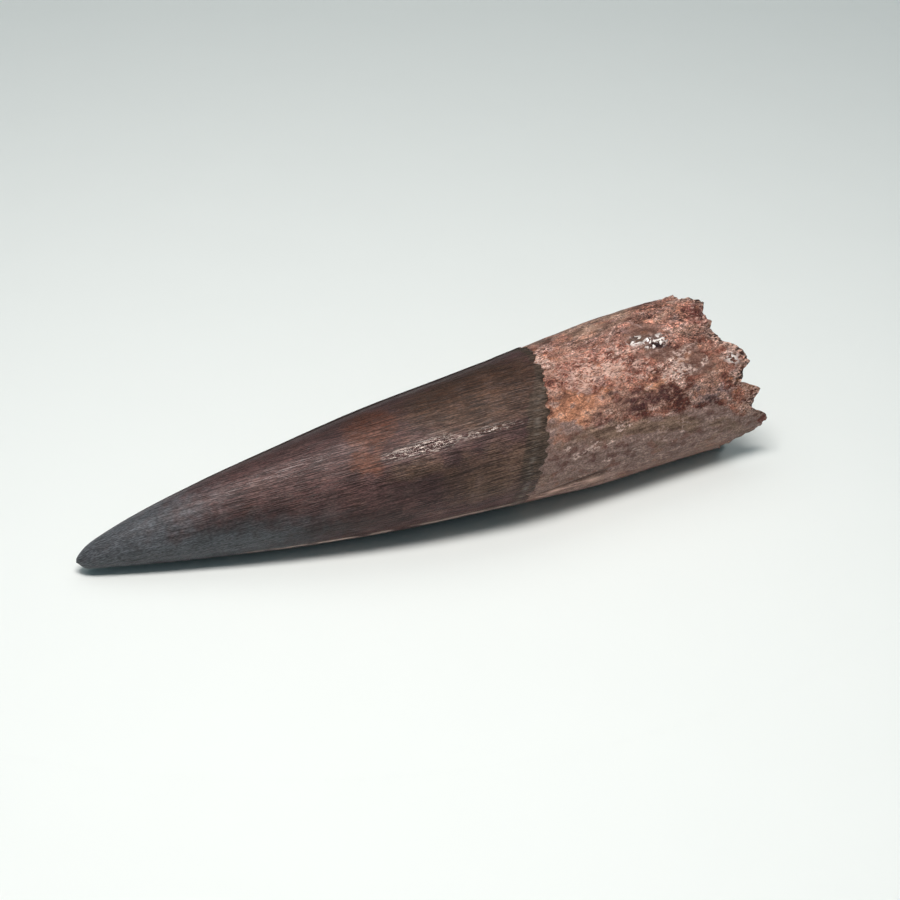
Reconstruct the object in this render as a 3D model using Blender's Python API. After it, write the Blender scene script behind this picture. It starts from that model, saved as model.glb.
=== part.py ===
"""A fossil spinosaurus tooth: a long enamel crown grown in one with a stout root that is broken off.

It lies on its side along X, with the point towards -X and the broken end towards +X. The front is
-Y. It rests on two worn flats, one under the belly of the crown and one under the heel of the root.
Lengths are in metres, and angles around the tooth are in degrees: 0 on top, 90 at the front, 180
underneath and 270 at the back.
"""

import math

import bmesh
import bpy
import numpy as np
from mathutils import Vector, noise

MM = 0.001

# Distance from the point, and half the width there
OUTLINE = (
    (0.0, 0.0),
    (1.5, 1.8),
    (6.0, 3.3),
    (14.0, 5.2),
    (26.0, 7.5),
    (42.0, 10.1),
    (60.0, 12.4),
    (80.0, 14.1),
    (100.0, 15.7),
    (118.0, 16.4),
    (130.0, 16.2),
    (139.7, 15.5),
)

# Distance from the point, and how far the middle line bows to the front there
BOW = (
    (0.0, 0.0),
    (14.0, 1.2),
    (42.0, 3.6),
    (80.0, 5.0),
    (100.0, 3.9),
    (118.0, 1.5),
    (139.7, -0.2),
)

# The cross-section is round on the crown. On the root it is an oval whose long way leans to the front.
CROWN_RATIO = 1.0
ROOT_RATIO = 0.80
FLATTENS_FROM = 78.0 * MM
FLATTENS_TO = 104.0 * MM
OVAL_LEAN = 145.0

# The point is clear of the floor, and so is the arch between the belly and the heel
POINT_RAISED = 1.5 * MM
BELLY_AT = 50.0 * MM
HEEL_AT = 126.0 * MM
ARCH = 0.35 * MM
WORN_DEPTH = 0.25 * MM

# A low cutting edge runs along the front and, opposite, along the back
EDGE_HEIGHT = 0.35 * MM
EDGE_HALF_ANGLE = 7.0
EDGE_ANGLE_CROWN = 141.0
EDGE_ANGLE_ROOT = 129.0
EDGE_ENDS = 104.0 * MM

# The enamel stands a little proud of the root where it ends, on a slanting line
ENAMEL_ENDS = 88.4 * MM
ENAMEL_SLANT = 3.8 * MM
ENAMEL_SLANT_TOP = -15.0
ENAMEL_STEP = 0.15 * MM
ENAMEL_STEP_LENGTH = 1.2 * MM

# The broken rim: angle around the tooth, and how far from the point the wall reaches there. The
# longest reach is the length of the tooth.
RIM = (
    (0, 128.4),
    (6, 128.0),
    (10, 128.6),
    (14, 127.9),
    (28, 128.2),
    (32, 129.8),
    (38, 132.9),
    (44, 134.3),
    (56, 134.8),
    (60, 133.2),
    (70, 132.0),
    (77, 135.1),
    (81, 136.1),
    (88, 134.5),
    (97, 134.7),
    (101, 136.6),
    (105, 138.8),
    (112, 139.7),
    (117, 138.9),
    (123, 136.6),
    (128, 132.6),
    (135, 130.1),
    (146, 131.5),
    (153, 134.0),
    (160, 132.2),
    (170, 133.0),
    (178, 130.0),
    (190, 131.2),
    (199, 134.6),
    (206, 133.6),
    (215, 130.4),
    (226, 131.0),
    (238, 128.2),
    (247, 130.6),
    (258, 131.8),
    (266, 129.0),
    (279, 128.4),
    (289, 131.0),
    (298, 130.2),
    (308, 127.6),
    (319, 128.6),
    (327, 127.2),
    (341, 127.6),
    (344, 129.4),
    (348, 130.3),
    (353, 130.7),
)

# The broken end falls from the rim to a rough face, with the mouth of the pulp hollow in its middle.
# The spikes of the rim are only as thick as the outermost share of the wall.
FACE_AT = 126.6 * MM
FACE_FROM_RIM = 0.58
SPIKE_FROM = 0.84
SPIKE_SPREAD = 30.0
SPIKE_STEPS = 7
HOLLOW_SHARE = 0.42
HOLLOW_DEPTH = 9.0 * MM
FACE_ROUGHNESS = 0.9 * MM
FACE_CALM_FROM = 0.90
FACE_GRAIN = 3.2 * MM

COLUMNS = 90
CROWN_ROWS = 30
POINT_CROWDING = 1.6
RIM_BLEND_FROM = 118.0 * MM
RIM_ROWS = 6
FACE_SHARES = (0.97, 0.93, 0.88, 0.82, 0.74, 0.65, 0.57, 0.49, 0.41, 0.32, 0.21, 0.10)

SHARP_ANGLE = 40.0
NEARLY_NOTHING = 1e-9

FOSSIL_COLOUR = (0.115, 0.068, 0.050, 1.0)
FOSSIL_ROUGHNESS = 0.5


def clear_scene():
    """Removes every object that the file starts with."""
    for obj in list(bpy.data.objects):
        bpy.data.objects.remove(obj, do_unlink=True)


def curve_through(knots, values, at):
    """A natural cubic curve through the knots, read at each place in at."""
    count = len(knots)
    gaps = np.diff(knots)
    rises = np.diff(values) / gaps
    system = np.eye(count)
    target = np.zeros(count)
    for i in range(1, count - 1):
        system[i, i - 1 : i + 2] = gaps[i - 1], 2 * (gaps[i - 1] + gaps[i]), gaps[i]
        target[i] = 6 * (rises[i] - rises[i - 1])
    bends = np.linalg.solve(system, target)
    i = np.clip(np.searchsorted(knots, at) - 1, 0, count - 2)
    before = (knots[i + 1] - at) / gaps[i]
    after = 1 - before
    bent = (before**3 - before) * bends[i] + (after**3 - after) * bends[i + 1]
    return before * values[i] + after * values[i + 1] + bent * gaps[i] ** 2 / 6


def half_width(distance):
    """Half the long way of the oval. The square root of the distance gives the point a round nose."""
    knots, widths = np.array(OUTLINE).T
    return curve_through(np.sqrt(knots), widths, np.sqrt(distance / MM)) * MM


def bow(distance):
    """How far the middle line stands to the front of a straight one."""
    knots, bows = np.array(BOW).T
    return curve_through(knots, bows, distance / MM) * MM


def underside(distance):
    """Height of the lowest line of the tooth before the floor wore it flat."""
    ahead = np.clip(1 - distance / BELLY_AT, 0, None)
    between = np.clip((distance - BELLY_AT) / (HEEL_AT - BELLY_AT), 0, 1)
    return POINT_RAISED * ahead**2 + ARCH * np.sin(math.pi * between) ** 2 - WORN_DEPTH


def smooth_step(low, high, value):
    """0 up to low, 1 from high, and an even S between them."""
    share = np.clip((value - low) / (high - low), 0, 1)
    return share * share * (3 - 2 * share)


def cutting_edge(angle, distance):
    """Height of the two cutting edges, which sink into the root."""
    to_root = smooth_step(ENAMEL_ENDS - ENAMEL_SLANT, ENAMEL_ENDS + ENAMEL_SLANT, distance)
    middle = EDGE_ANGLE_CROWN + (EDGE_ANGLE_ROOT - EDGE_ANGLE_CROWN) * to_root
    off_edge = (angle - middle + 90) % 180 - 90
    fade = 1 - smooth_step(ENAMEL_ENDS + ENAMEL_SLANT, EDGE_ENDS, distance)
    start = smooth_step(0, BELLY_AT, distance)
    return EDGE_HEIGHT * start * fade * np.exp(-((off_edge / EDGE_HALF_ANGLE) ** 2))


def enamel_thickness(angle, distance):
    """What the enamel adds on the crown, down to nothing past its slanting margin."""
    margin = ENAMEL_ENDS + ENAMEL_SLANT * np.cos(np.radians(angle - ENAMEL_SLANT_TOP))
    return ENAMEL_STEP * (1 - smooth_step(margin - ENAMEL_STEP_LENGTH, margin, distance))


def oval_ratio(distance):
    """The short way of the cross-section over its long way."""
    flat = smooth_step(FLATTENS_FROM, FLATTENS_TO, distance)
    return CROWN_RATIO + (ROOT_RATIO - CROWN_RATIO) * flat


def oval(angle, distance):
    """Distance from the middle line to the leaning oval."""
    long_half = half_width(distance)
    short_half = oval_ratio(distance) * long_half
    turn = np.radians(angle - OVAL_LEAN)
    across = np.hypot(short_half * np.cos(turn), long_half * np.sin(turn))
    return long_half * short_half / np.maximum(across, NEARLY_NOTHING)


def middle_height(distance):
    """Height of the middle line, which is half the oval's height above its lowest line."""
    lean = math.radians(180 - OVAL_LEAN)
    share = np.hypot(math.cos(lean), oval_ratio(distance) * math.sin(lean))
    return underside(distance) + share * half_width(distance)


def surface(angle, distance, share=1.0):
    """Points on the tooth, or inside it where share, from the middle line to the surface, is under 1."""
    reach = oval(angle, distance)
    reach = reach + cutting_edge(angle, distance) + enamel_thickness(angle, distance) - ENAMEL_STEP
    reach = np.maximum(reach, 0) * share
    turn = np.radians(angle)
    points = np.stack(
        [
            distance,
            -bow(distance) - reach * np.sin(turn),
            middle_height(distance) + reach * np.cos(turn),
        ],
        axis=-1,
    )
    points[..., 2] = np.maximum(points[..., 2], 0)
    return points


def rim_reach(angle):
    """How far from the point the broken wall reaches at each angle."""
    angles, reaches = np.array(RIM, float).T
    return np.interp(angle, angles, reaches, period=360) * MM


def broad_rim_reach(angle):
    """The reach of the broken wall averaged over the angles to both sides, without its spikes."""
    offsets = np.linspace(-SPIKE_SPREAD, SPIKE_SPREAD, SPIKE_STEPS)
    return np.mean([rim_reach(angle + offset) for offset in offsets], axis=0)


def face_distance(angle, share):
    """How far from the point the broken end lies, from the rim at share 1 to its middle at 0."""
    broad = broad_rim_reach(angle)
    wall = smooth_step(FACE_FROM_RIM, 1, share)
    spike = smooth_step(SPIKE_FROM, 1, share)
    hollow = 1 - smooth_step(0, HOLLOW_SHARE, share)
    level = FACE_AT + (broad - FACE_AT) * wall + (rim_reach(angle) - broad) * spike
    fade = 1 - smooth_step(FACE_CALM_FROM, 1, share)
    lumps = FACE_ROUGHNESS * fade * face_noise(angle, share)
    return level - HOLLOW_DEPTH * hollow + lumps


def face_noise(angle, share):
    """Lumps of the broken end, from -1 to 1."""
    radius = share * half_width(FACE_AT) / FACE_GRAIN
    turn = np.radians(angle)
    spots = np.stack([radius * np.cos(turn), radius * np.sin(turn)], axis=-1)
    return np.array([noise.noise(Vector((x, y, 0.0))) for x, y in spots])


def ring_points():
    """Each ring of points in turn, from the point along the side and then in over the broken end."""
    angle = np.arange(COLUMNS) * 360 / COLUMNS
    for row in range(1, CROWN_ROWS + 1):
        distance = RIM_BLEND_FROM * (row / CROWN_ROWS) ** POINT_CROWDING
        yield surface(angle, np.full(COLUMNS, distance))
    for row in range(1, RIM_ROWS + 1):
        share = row / RIM_ROWS
        yield surface(angle, RIM_BLEND_FROM + (rim_reach(angle) - RIM_BLEND_FROM) * share)
    for share in FACE_SHARES:
        yield surface(angle, face_distance(angle, share), share)


def centred(points):
    """The points moved in X and Y so that their box is centred on the origin."""
    low, high = points.min(axis=0), points.max(axis=0)
    middle = (low + high) / 2
    middle[2] = 0
    return points - middle


def tooth_mesh():
    """The closed mesh: a fan at the point, bands between the rings, and a fan in the hollow."""
    rings = list(ring_points())
    point = surface(np.zeros(1), np.zeros(1))
    hollow = surface(np.zeros(1), face_distance(np.zeros(1), 0.0), 0.0)
    places = centred(np.concatenate([point, *rings, hollow]))

    bm = bmesh.new()
    verts = [bm.verts.new(place) for place in places]
    loops = [verts[1 + i * COLUMNS : 1 + (i + 1) * COLUMNS] for i in range(len(rings))]
    for i in range(COLUMNS):
        after = (i + 1) % COLUMNS
        bm.faces.new((verts[0], loops[0][i], loops[0][after]))
        for near, far in zip(loops, loops[1:]):
            bm.faces.new((near[i], far[i], far[after], near[after]))
        bm.faces.new((verts[-1], loops[-1][after], loops[-1][i]))
    bmesh.ops.recalc_face_normals(bm, faces=bm.faces)

    mesh = bpy.data.meshes.new("tooth")
    bm.to_mesh(mesh)
    bm.free()
    mesh.shade_smooth()
    mesh.set_sharp_from_angle(angle=math.radians(SHARP_ANGLE))
    return mesh


def fossil_material():
    """The dark brown of the crown, for the plain model."""
    material = bpy.data.materials.new("fossil")
    material.use_nodes = True
    shader = material.node_tree.nodes["Principled BSDF"]
    shader.inputs["Base Color"].default_value = FOSSIL_COLOUR
    shader.inputs["Roughness"].default_value = FOSSIL_ROUGHNESS
    shader.inputs["Metallic"].default_value = 0.0
    return material


def build_tooth():
    """The tooth, crown and root in one object."""
    tooth = bpy.data.objects.new("tooth", tooth_mesh())
    tooth.data.materials.append(fossil_material())
    bpy.context.scene.collection.objects.link(tooth)


clear_scene()
build_tooth()
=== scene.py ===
"""The looks of a fossil spinosaurus tooth: a worn enamel crown on a pitted, broken root.

The tooth lies on its side along X, with the point towards -X and the broken end towards +X. Sizes
are in millimetres unless a name says otherwise. A place on the tooth is given by its distance from
the point and its angle around the tooth in degrees: 0 on top, 90 at the front, 180 underneath and
270 at the back.
"""

import logging
import math
from collections.abc import Sequence
from dataclasses import dataclass, field, fields
from enum import Enum
from functools import partial, reduce
from typing import ClassVar

import bpy
import numpy as np
from mathutils import Matrix, Vector, noise


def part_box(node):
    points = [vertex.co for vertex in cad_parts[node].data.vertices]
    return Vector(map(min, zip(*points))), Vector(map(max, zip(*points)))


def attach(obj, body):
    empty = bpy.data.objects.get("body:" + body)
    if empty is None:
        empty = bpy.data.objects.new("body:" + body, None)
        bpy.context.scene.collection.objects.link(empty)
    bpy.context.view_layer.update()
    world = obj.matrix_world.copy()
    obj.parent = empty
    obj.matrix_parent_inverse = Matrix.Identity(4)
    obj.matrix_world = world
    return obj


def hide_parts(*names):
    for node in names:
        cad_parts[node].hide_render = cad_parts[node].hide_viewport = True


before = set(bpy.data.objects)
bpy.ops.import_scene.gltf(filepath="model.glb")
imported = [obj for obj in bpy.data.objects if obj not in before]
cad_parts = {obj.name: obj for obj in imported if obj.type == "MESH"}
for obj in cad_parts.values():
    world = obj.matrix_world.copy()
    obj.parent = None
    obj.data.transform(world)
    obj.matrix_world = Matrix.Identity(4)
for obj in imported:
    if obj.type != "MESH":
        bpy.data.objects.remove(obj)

MM = 0.001
BODY = "root"
NODE = "tooth"
SEED_STEP = 7.3

log = logging.getLogger("tooth")

Span = tuple[float, float]
Pairs = tuple[Span, ...]
Triple = tuple[float, float, float]
Socket = bpy.types.NodeSocket


# Plain curves and fields


def smooth_step(low: float, high: float, value: np.ndarray) -> np.ndarray:
    """An even S from 0 at low to 1 at high.

    Args:
        low: The value up to which the result is 0.
        high: The value from which the result is 1.
        value: The values to read the S at.

    Returns:
        The S at each value.
    """
    share = np.clip((value - low) / (high - low), 0, 1)
    return share * share * (3 - 2 * share)


def curve_through(knots: np.ndarray, values: np.ndarray, at: np.ndarray) -> np.ndarray:
    """A natural cubic curve through a few points.

    Args:
        knots: Where the points lie, in rising order.
        values: The value at each of them.
        at: Where the curve is wanted.

    Returns:
        The curve at each place.
    """
    count = len(knots)
    gaps = np.diff(knots)
    rises = np.diff(values) / gaps
    system = np.eye(count)
    target = np.zeros(count)
    for i in range(1, count - 1):
        system[i, i - 1 : i + 2] = gaps[i - 1], 2 * (gaps[i - 1] + gaps[i]), gaps[i]
        target[i] = 6 * (rises[i] - rises[i - 1])
    bends = np.linalg.solve(system, target)
    i = np.clip(np.searchsorted(knots, at) - 1, 0, count - 2)
    before = (knots[i + 1] - at) / gaps[i]
    after = 1 - before
    bent = (before**3 - before) * bends[i] + (after**3 - after) * bends[i + 1]
    return before * values[i] + after * values[i + 1] + bent * gaps[i] ** 2 / 6


def read_off(pairs: Pairs, at: np.ndarray, period: float | None = None) -> np.ndarray:
    """The second numbers of some pairs, read off between the first ones by straight lines.

    Args:
        pairs: The pairs, in rising order of their first numbers.
        at: The first numbers to read them off at.
        period: After how much the pairs start again, if they do.

    Returns:
        The second number at each place.
    """
    knots, values = np.array(pairs).T
    return np.interp(at, knots, values, period=period)


def window(value: np.ndarray, rise: Span, fall: Span) -> np.ndarray:
    """1 from the end of a rise to the start of a fall, and 0 past both of them."""
    return smooth_step(*rise, value) * (1 - smooth_step(*fall, value))


def hill(off: np.ndarray) -> np.ndarray:
    """A round hill, 1 high in the middle and about a third as high one width away."""
    return np.exp(-(off**2))


def circle(angle: np.ndarray, radius: float) -> np.ndarray:
    """Points on a circle in space, for patterns that close around the tooth."""
    turn = np.radians(angle)
    return np.stack([radius * np.cos(turn), radius * np.sin(turn), np.zeros_like(turn)], axis=-1)


def turned_apart(angle: np.ndarray, middle: np.ndarray | float) -> np.ndarray:
    """The signed turn in degrees from middle to angle, from -180 to 180."""
    return (np.asarray(angle) - middle + 180) % 360 - 180


def lumps(spots: np.ndarray, size: float, seed: float = 0.0) -> np.ndarray:
    """Smooth random lumps in space.

    Args:
        spots: Points in the last axis.
        size: Size of a lump, in the unit of the points.
        seed: Shifts the pattern, so that two fields differ.

    Returns:
        A value from about -1 to 1 for each point.
    """
    flat = (spots / size + seed).reshape(-1, 3).tolist()
    values = np.fromiter((noise.noise(spot) for spot in flat), float, len(flat))
    return values.reshape(spots.shape[:-1])


def rough(spots: np.ndarray, size: float, layers: int, seed: float = 0.0) -> np.ndarray:
    """Lumps on lumps, each layer half as large and half as high as the one before.

    Args:
        spots: Points in the last axis.
        size: Size of the largest lump.
        layers: How many sizes of lump there are.
        seed: Shifts the pattern.

    Returns:
        A value from about -1 to 1 for each point.
    """
    return sum(lumps(spots, size / 2**i, seed + SEED_STEP * i) / 2**i for i in range(layers))


@dataclass(frozen=True)
class Grain:
    """A random relief: its height, the size of its largest lumps, and how many sizes of lump it has.

    A factor along the tooth that is below 1 draws its lumps out.
    """

    height: float
    size: float
    layers: int = 1
    seed: float = 0.0
    along: float = 1.0

    def at(self, spots: np.ndarray) -> np.ndarray:
        """The relief at each point."""
        stretched = spots * np.array([self.along, 1, 1])
        return self.height * rough(stretched, self.size, self.layers, self.seed)


def unrolled(straight: np.ndarray, middle: float, slope: float) -> np.ndarray:
    """The surface rolled out flat, so that a pattern can run along it without a break.

    Args:
        straight: Points around a straight middle line.
        middle: The angle in degrees at which the sheet has its middle. Its edges meet across from it.
        slope: How far the pattern moves around for each millimetre along.

    Returns:
        Points with the distance along first and the way around second.
    """
    turn = turned_apart(np.degrees(np.arctan2(-straight[..., 1], straight[..., 2])), middle)
    around = np.radians(turn) * np.hypot(straight[..., 1], straight[..., 2])
    along = straight[..., 0]
    return np.stack([along, around + slope * along, np.zeros_like(along)], axis=-1)


# The smooth form


@dataclass(frozen=True)
class ToothForm:
    """The smooth form of the tooth. It is the solid's, but for the trims on its back and its rounder nose."""

    outline: Pairs = (
        (0.0, 0.0), (1.5, 1.8), (6.0, 3.3), (14.0, 5.2), (26.0, 7.5), (42.0, 10.1), (60.0, 12.4),
        (80.0, 14.1), (100.0, 15.7), (118.0, 16.4), (130.0, 16.2), (139.7, 15.5),
    )
    bows: Pairs = (
        (0.0, 0.0), (14.0, 1.2), (42.0, 3.6), (80.0, 5.0), (100.0, 3.9), (118.0, 1.5), (139.7, -0.2),
    )
    crown_ratio: float = 1.0
    root_ratio: float = 0.80
    flattens_from: float = 78.0
    flattens_to: float = 104.0
    oval_lean: float = 145.0
    point_raised: float = 1.5
    belly_at: float = 50.0
    heel_at: float = 126.0
    arch: float = 0.35
    worn_depth: float = 0.25
    edge_height: float = 0.18
    edge_half_angle: float = 7.0
    edge_angle_crown: float = 141.0
    edge_angle_root: float = 129.0
    edge_turns_from: float = 84.6
    edge_turns_to: float = 92.2
    edge_ends: float = 104.0
    back_trims: Pairs = (
        (0, 0.0), (27, 0.20), (38, 0.34), (56, 0.37), (70, 0.42), (85, 0.42), (91, 0.0), (98, -0.24),
        (106, -0.26), (114, -0.06), (121, -0.14), (125, -0.05), (127.5, -0.30), (130.5, -0.85),
    )
    back_middle: float = 321.0
    back_half_turn: float = 32.0
    nose_length: float = 1.9
    nose_lift: float = 1.25
    nose_taper: float = 0.40

    def half_width(self, distance: np.ndarray) -> np.ndarray:
        """Half the long way of the oval, with a round nose at the point."""
        knots, widths = np.array(self.outline).T
        return curve_through(np.sqrt(knots), widths, np.sqrt(distance))

    def bow(self, distance: np.ndarray) -> np.ndarray:
        """How far the middle line stands to the front of a straight one."""
        knots, bows = np.array(self.bows).T
        return curve_through(knots, bows, distance)

    def underside(self, distance: np.ndarray) -> np.ndarray:
        """Height of the lowest line before the floor wore it flat.

        Args:
            distance: Distances from the point.

        Returns:
            The height at each place.
        """
        ahead = np.clip(1 - distance / self.belly_at, 0, None)
        between = np.clip((distance - self.belly_at) / (self.heel_at - self.belly_at), 0, 1)
        arch = self.arch * np.sin(math.pi * between) ** 2
        return self.point_raised * ahead**2 + arch - self.worn_depth

    def ratio(self, distance: np.ndarray) -> np.ndarray:
        """The short way of the oval over the long way: the crown is round, and the root is flatter."""
        flat = smooth_step(self.flattens_from, self.flattens_to, distance)
        return self.crown_ratio + (self.root_ratio - self.crown_ratio) * flat

    def near_point(self, distance: np.ndarray) -> np.ndarray:
        """How far the worn nose is felt: 1 at the point, 0 past the nose."""
        return np.clip(1 - distance / self.nose_length, 0, None) ** 2

    def middle_height(self, distance: np.ndarray) -> np.ndarray:
        """Height of the middle line.

        Args:
            distance: Distances from the point.

        Returns:
            The height at each place.
        """
        lean = math.radians(180 - self.oval_lean)
        share = np.hypot(math.cos(lean), self.ratio(distance) * math.sin(lean))
        lift = self.nose_lift * self.near_point(distance)
        return self.underside(distance) + share * self.half_width(distance) + lift

    def edge_angle(self, distance: np.ndarray) -> np.ndarray:
        """The angle at which the front cutting edge lies."""
        turn = smooth_step(self.edge_turns_from, self.edge_turns_to, distance)
        return self.edge_angle_crown + (self.edge_angle_root - self.edge_angle_crown) * turn

    def off_edge(self, angle: np.ndarray, distance: np.ndarray) -> np.ndarray:
        """The signed turn from the nearer of the two cutting edges."""
        return (angle - self.edge_angle(distance) + 90) % 180 - 90

    def cutting_edge(self, angle: np.ndarray, distance: np.ndarray) -> np.ndarray:
        """Height of the two cutting edges.

        Args:
            angle: Angles around the tooth.
            distance: Distances from the point.

        Returns:
            The height at each place.
        """
        off = self.off_edge(angle, distance) / self.edge_half_angle
        fade = 1 - smooth_step(self.edge_turns_to, self.edge_ends, distance)
        start = smooth_step(0, self.belly_at, distance)
        return self.edge_height * start * fade * hill(off)

    def reach(self, angle: np.ndarray, distance: np.ndarray) -> np.ndarray:
        """Distance from the middle line to the surface.

        Args:
            angle: Angles around the tooth.
            distance: Distances from the point.

        Returns:
            The reach at each place.
        """
        long_half = self.half_width(distance)
        short_half = self.ratio(distance) * long_half
        turn = np.radians(angle - self.oval_lean)
        across = np.hypot(short_half * np.cos(turn), long_half * np.sin(turn))
        oval = long_half * short_half / np.maximum(across, 1e-9)
        off_back = turned_apart(angle, self.back_middle) / self.back_half_turn
        trim = read_off(self.back_trims, distance) * hill(off_back)
        oval = oval * (1 - self.nose_taper * self.near_point(distance))
        return oval + self.cutting_edge(angle, distance) - trim

    def straight(self, angle: np.ndarray, distance: np.ndarray, reach: np.ndarray) -> np.ndarray:
        """Points around a straight middle line, for patterns that follow the bend.

        Args:
            angle: Angles around the tooth.
            distance: Distances from the point.
            reach: Distances from the middle line.

        Returns:
            Points with the distance first, then the way to the back and the way up.
        """
        turn = np.radians(angle)
        return np.stack([distance, -reach * np.sin(turn), reach * np.cos(turn)], axis=-1)

    def placed(self, straight: np.ndarray) -> np.ndarray:
        """Straight points moved onto the bent middle line, and worn flat at the floor.

        Args:
            straight: Points around a straight middle line.

        Returns:
            The points where they lie on the tooth.
        """
        points = straight.copy()
        points[..., 1] -= self.bow(straight[..., 0])
        points[..., 2] += self.middle_height(straight[..., 0])
        points[..., 2] = np.maximum(points[..., 2], 0)
        return points


@dataclass(frozen=True)
class EnamelMargin:
    """The ragged line on which the enamel ends, and the dark band before it."""

    middle: float = 88.4
    slant: float = 3.8
    slant_top: float = -15.0
    notch_half_angle: float = 3.2
    notches: Pairs = (
        (1, 1.2), (8, 0.5), (23, 0.9), (32, 0.4), (41, 1.0), (51, 0.5), (60, 1.1), (91, 0.9), (104, 0.5),
        (119, 1.4), (150, 1.0), (163, 0.5), (180, 0.9), (205, 1.2), (228, 0.6), (252, 1.1), (266, 0.5),
        (280, 0.9), (303, 0.6), (332, 1.1),
    )
    notch_point: float = 1.5
    ragged: Grain = Grain(0.75, 0.9, 3, 3.1)
    ragged_radius: float = 13.0
    band_widths: Pairs = (
        (0, 1.5), (20, 2.2), (40, 4.9), (80, 5.3), (140, 4.2), (200, 2.5), (260, 4.4), (320, 2.4),
    )

    def smooth(self, angle: np.ndarray) -> np.ndarray:
        """The margin without its notches."""
        return self.middle + self.slant * np.cos(np.radians(angle - self.slant_top))

    def at(self, angle: np.ndarray) -> np.ndarray:
        """The margin with its notches and its fine raggedness.

        Args:
            angle: Angles around the tooth.

        Returns:
            The distance of the margin from the point at each angle.
        """
        line = self.smooth(angle)
        for middle, depth in self.notches:
            off = np.abs(turned_apart(angle, middle) / self.notch_half_angle)
            line = line - depth * np.exp(-(off**self.notch_point))
        return line + self.ragged.at(circle(angle, self.ragged_radius))

    def band_starts(self, angle: np.ndarray) -> np.ndarray:
        """Where the dark band starts."""
        return self.smooth(angle) - read_off(self.band_widths, angle, period=360)


@dataclass(frozen=True)
class BrokenRim:
    """The ragged rim where the root broke off: each angle, and how far the wall reaches there."""

    reaches: Pairs = (
        (0, 129.8), (6, 130.0), (10, 130.8), (14, 129.7), (20, 130.0), (28, 131.3), (32, 132.6),
        (38, 134.5), (44, 135.3), (56, 135.7), (60, 134.4), (66, 133.6), (71, 132.9), (77, 136.2),
        (81, 137.7), (85, 137.4), (89, 136.1), (97, 135.6), (101, 136.9), (105, 138.8), (112, 139.7),
        (117, 138.9), (123, 136.6), (128, 132.6), (135, 130.1), (146, 131.5), (153, 134.0), (160, 132.2),
        (170, 133.0), (178, 130.0), (190, 131.2), (199, 134.6), (206, 133.6), (215, 130.4), (226, 131.0),
        (238, 128.2), (247, 130.6), (258, 131.8), (266, 129.0), (279, 128.4), (289, 131.0), (298, 130.2),
        (308, 127.6), (319, 128.6), (327, 127.2), (341, 127.6), (344, 129.4), (348, 130.3), (353, 131.3),
    )
    jags: Grain = Grain(0.55, 1.3, 3, 11.7)
    jag_radius: float = 16.0
    spread: float = 30.0
    spread_count: int = 7

    def plain(self, angle: np.ndarray) -> np.ndarray:
        """The rim without its finest jags."""
        return read_off(self.reaches, angle, period=360)

    def at(self, angle: np.ndarray) -> np.ndarray:
        """The rim with its finest jags, none of which passes the longest spike.

        Args:
            angle: Angles around the tooth.

        Returns:
            The distance of the rim from the point at each angle.
        """
        jagged = self.plain(angle) + self.jags.at(circle(angle, self.jag_radius))
        return np.minimum(jagged, max(reach for _, reach in self.reaches))

    def broad(self, angle: np.ndarray) -> np.ndarray:
        """The rim averaged to both sides, without its spikes."""
        offsets = np.linspace(-self.spread, self.spread, self.spread_count)
        return np.mean([self.plain(angle + offset) for offset in offsets], axis=0)


# Places on the surface


@dataclass(frozen=True)
class Patch:
    """A soft oval patch on the side of the tooth: 1 inside, falling to 0 past its edge."""

    distance: float
    angle: float
    half_length: float
    half_turn: float
    twist: float = 0.0
    soft: float = 0.6

    def cover(self, angle: np.ndarray, distance: np.ndarray) -> np.ndarray:
        """How far the patch covers each place.

        Args:
            angle: Angles around the tooth.
            distance: Distances from the point.

        Returns:
            The cover, from 0 to 1, at each place.
        """
        along = (distance - self.distance) / self.half_length
        middle = self.angle + self.twist * (distance - self.distance)
        around = turned_apart(angle, middle) / self.half_turn
        off = np.hypot(along, around)
        return 1 - smooth_step(1 - self.soft, 1 + self.soft, off)


def covered(patches: Sequence[Patch], angle: np.ndarray, distance: np.ndarray) -> np.ndarray:
    """The most that any of several patches covers each place.

    Args:
        patches: The patches.
        angle: Angles around the tooth.
        distance: Distances from the point.

    Returns:
        A cover from 0 to 1 for each place.
    """
    return np.max([patch.cover(angle, distance) for patch in patches], axis=0)


@dataclass(frozen=True)
class Crease:
    """The crease in the skin of the root: its width, and at which angle it runs at each distance."""

    half_turn: float
    route: Pairs = ((86, 124), (88.6, 122), (94.7, 117), (99.9, 115), (104, 114.5))

    def cover(self, angle: np.ndarray, distance: np.ndarray) -> np.ndarray:
        """How far the crease is felt.

        Args:
            angle: Angles around the tooth.
            distance: Distances from the point.

        Returns:
            The cover, from 0 to 1, at each place.
        """
        (first, _), (second, _), *_, (last_but_one, _), (last, _) = self.route
        off = turned_apart(angle, read_off(self.route, distance)) / self.half_turn
        return hill(off) * window(distance, (first, second), (last_but_one, last))


class Stain(Enum):
    """The stains of the tooth, by the name of the mesh attribute that holds each one's cover. SHADOWED and
    BACK_EDGE say where shade is painted, and WET also says where glints are painted.
    """

    SMOKE = "smoke"
    RUST = "rust"
    OLIVE = "olive"
    BAND = "band"
    PALE = "pale"
    PINK = "pink"
    ORANGE = "orange"
    MAROON = "maroon"
    VIOLET = "violet"
    SKIN = "skin"
    TOP = "top"
    FOLD = "fold"
    BROWN = "brown"
    WET = "wet"
    RED = "red"
    RIM = "rim"
    GROWTH = "growth"
    TAN = "tan"
    DRAB = "drab"
    BACK_EDGE = "back_edge"
    CREASE = "crease"
    SHADOWED = "shadowed"
    EDGE = "edge"


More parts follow.
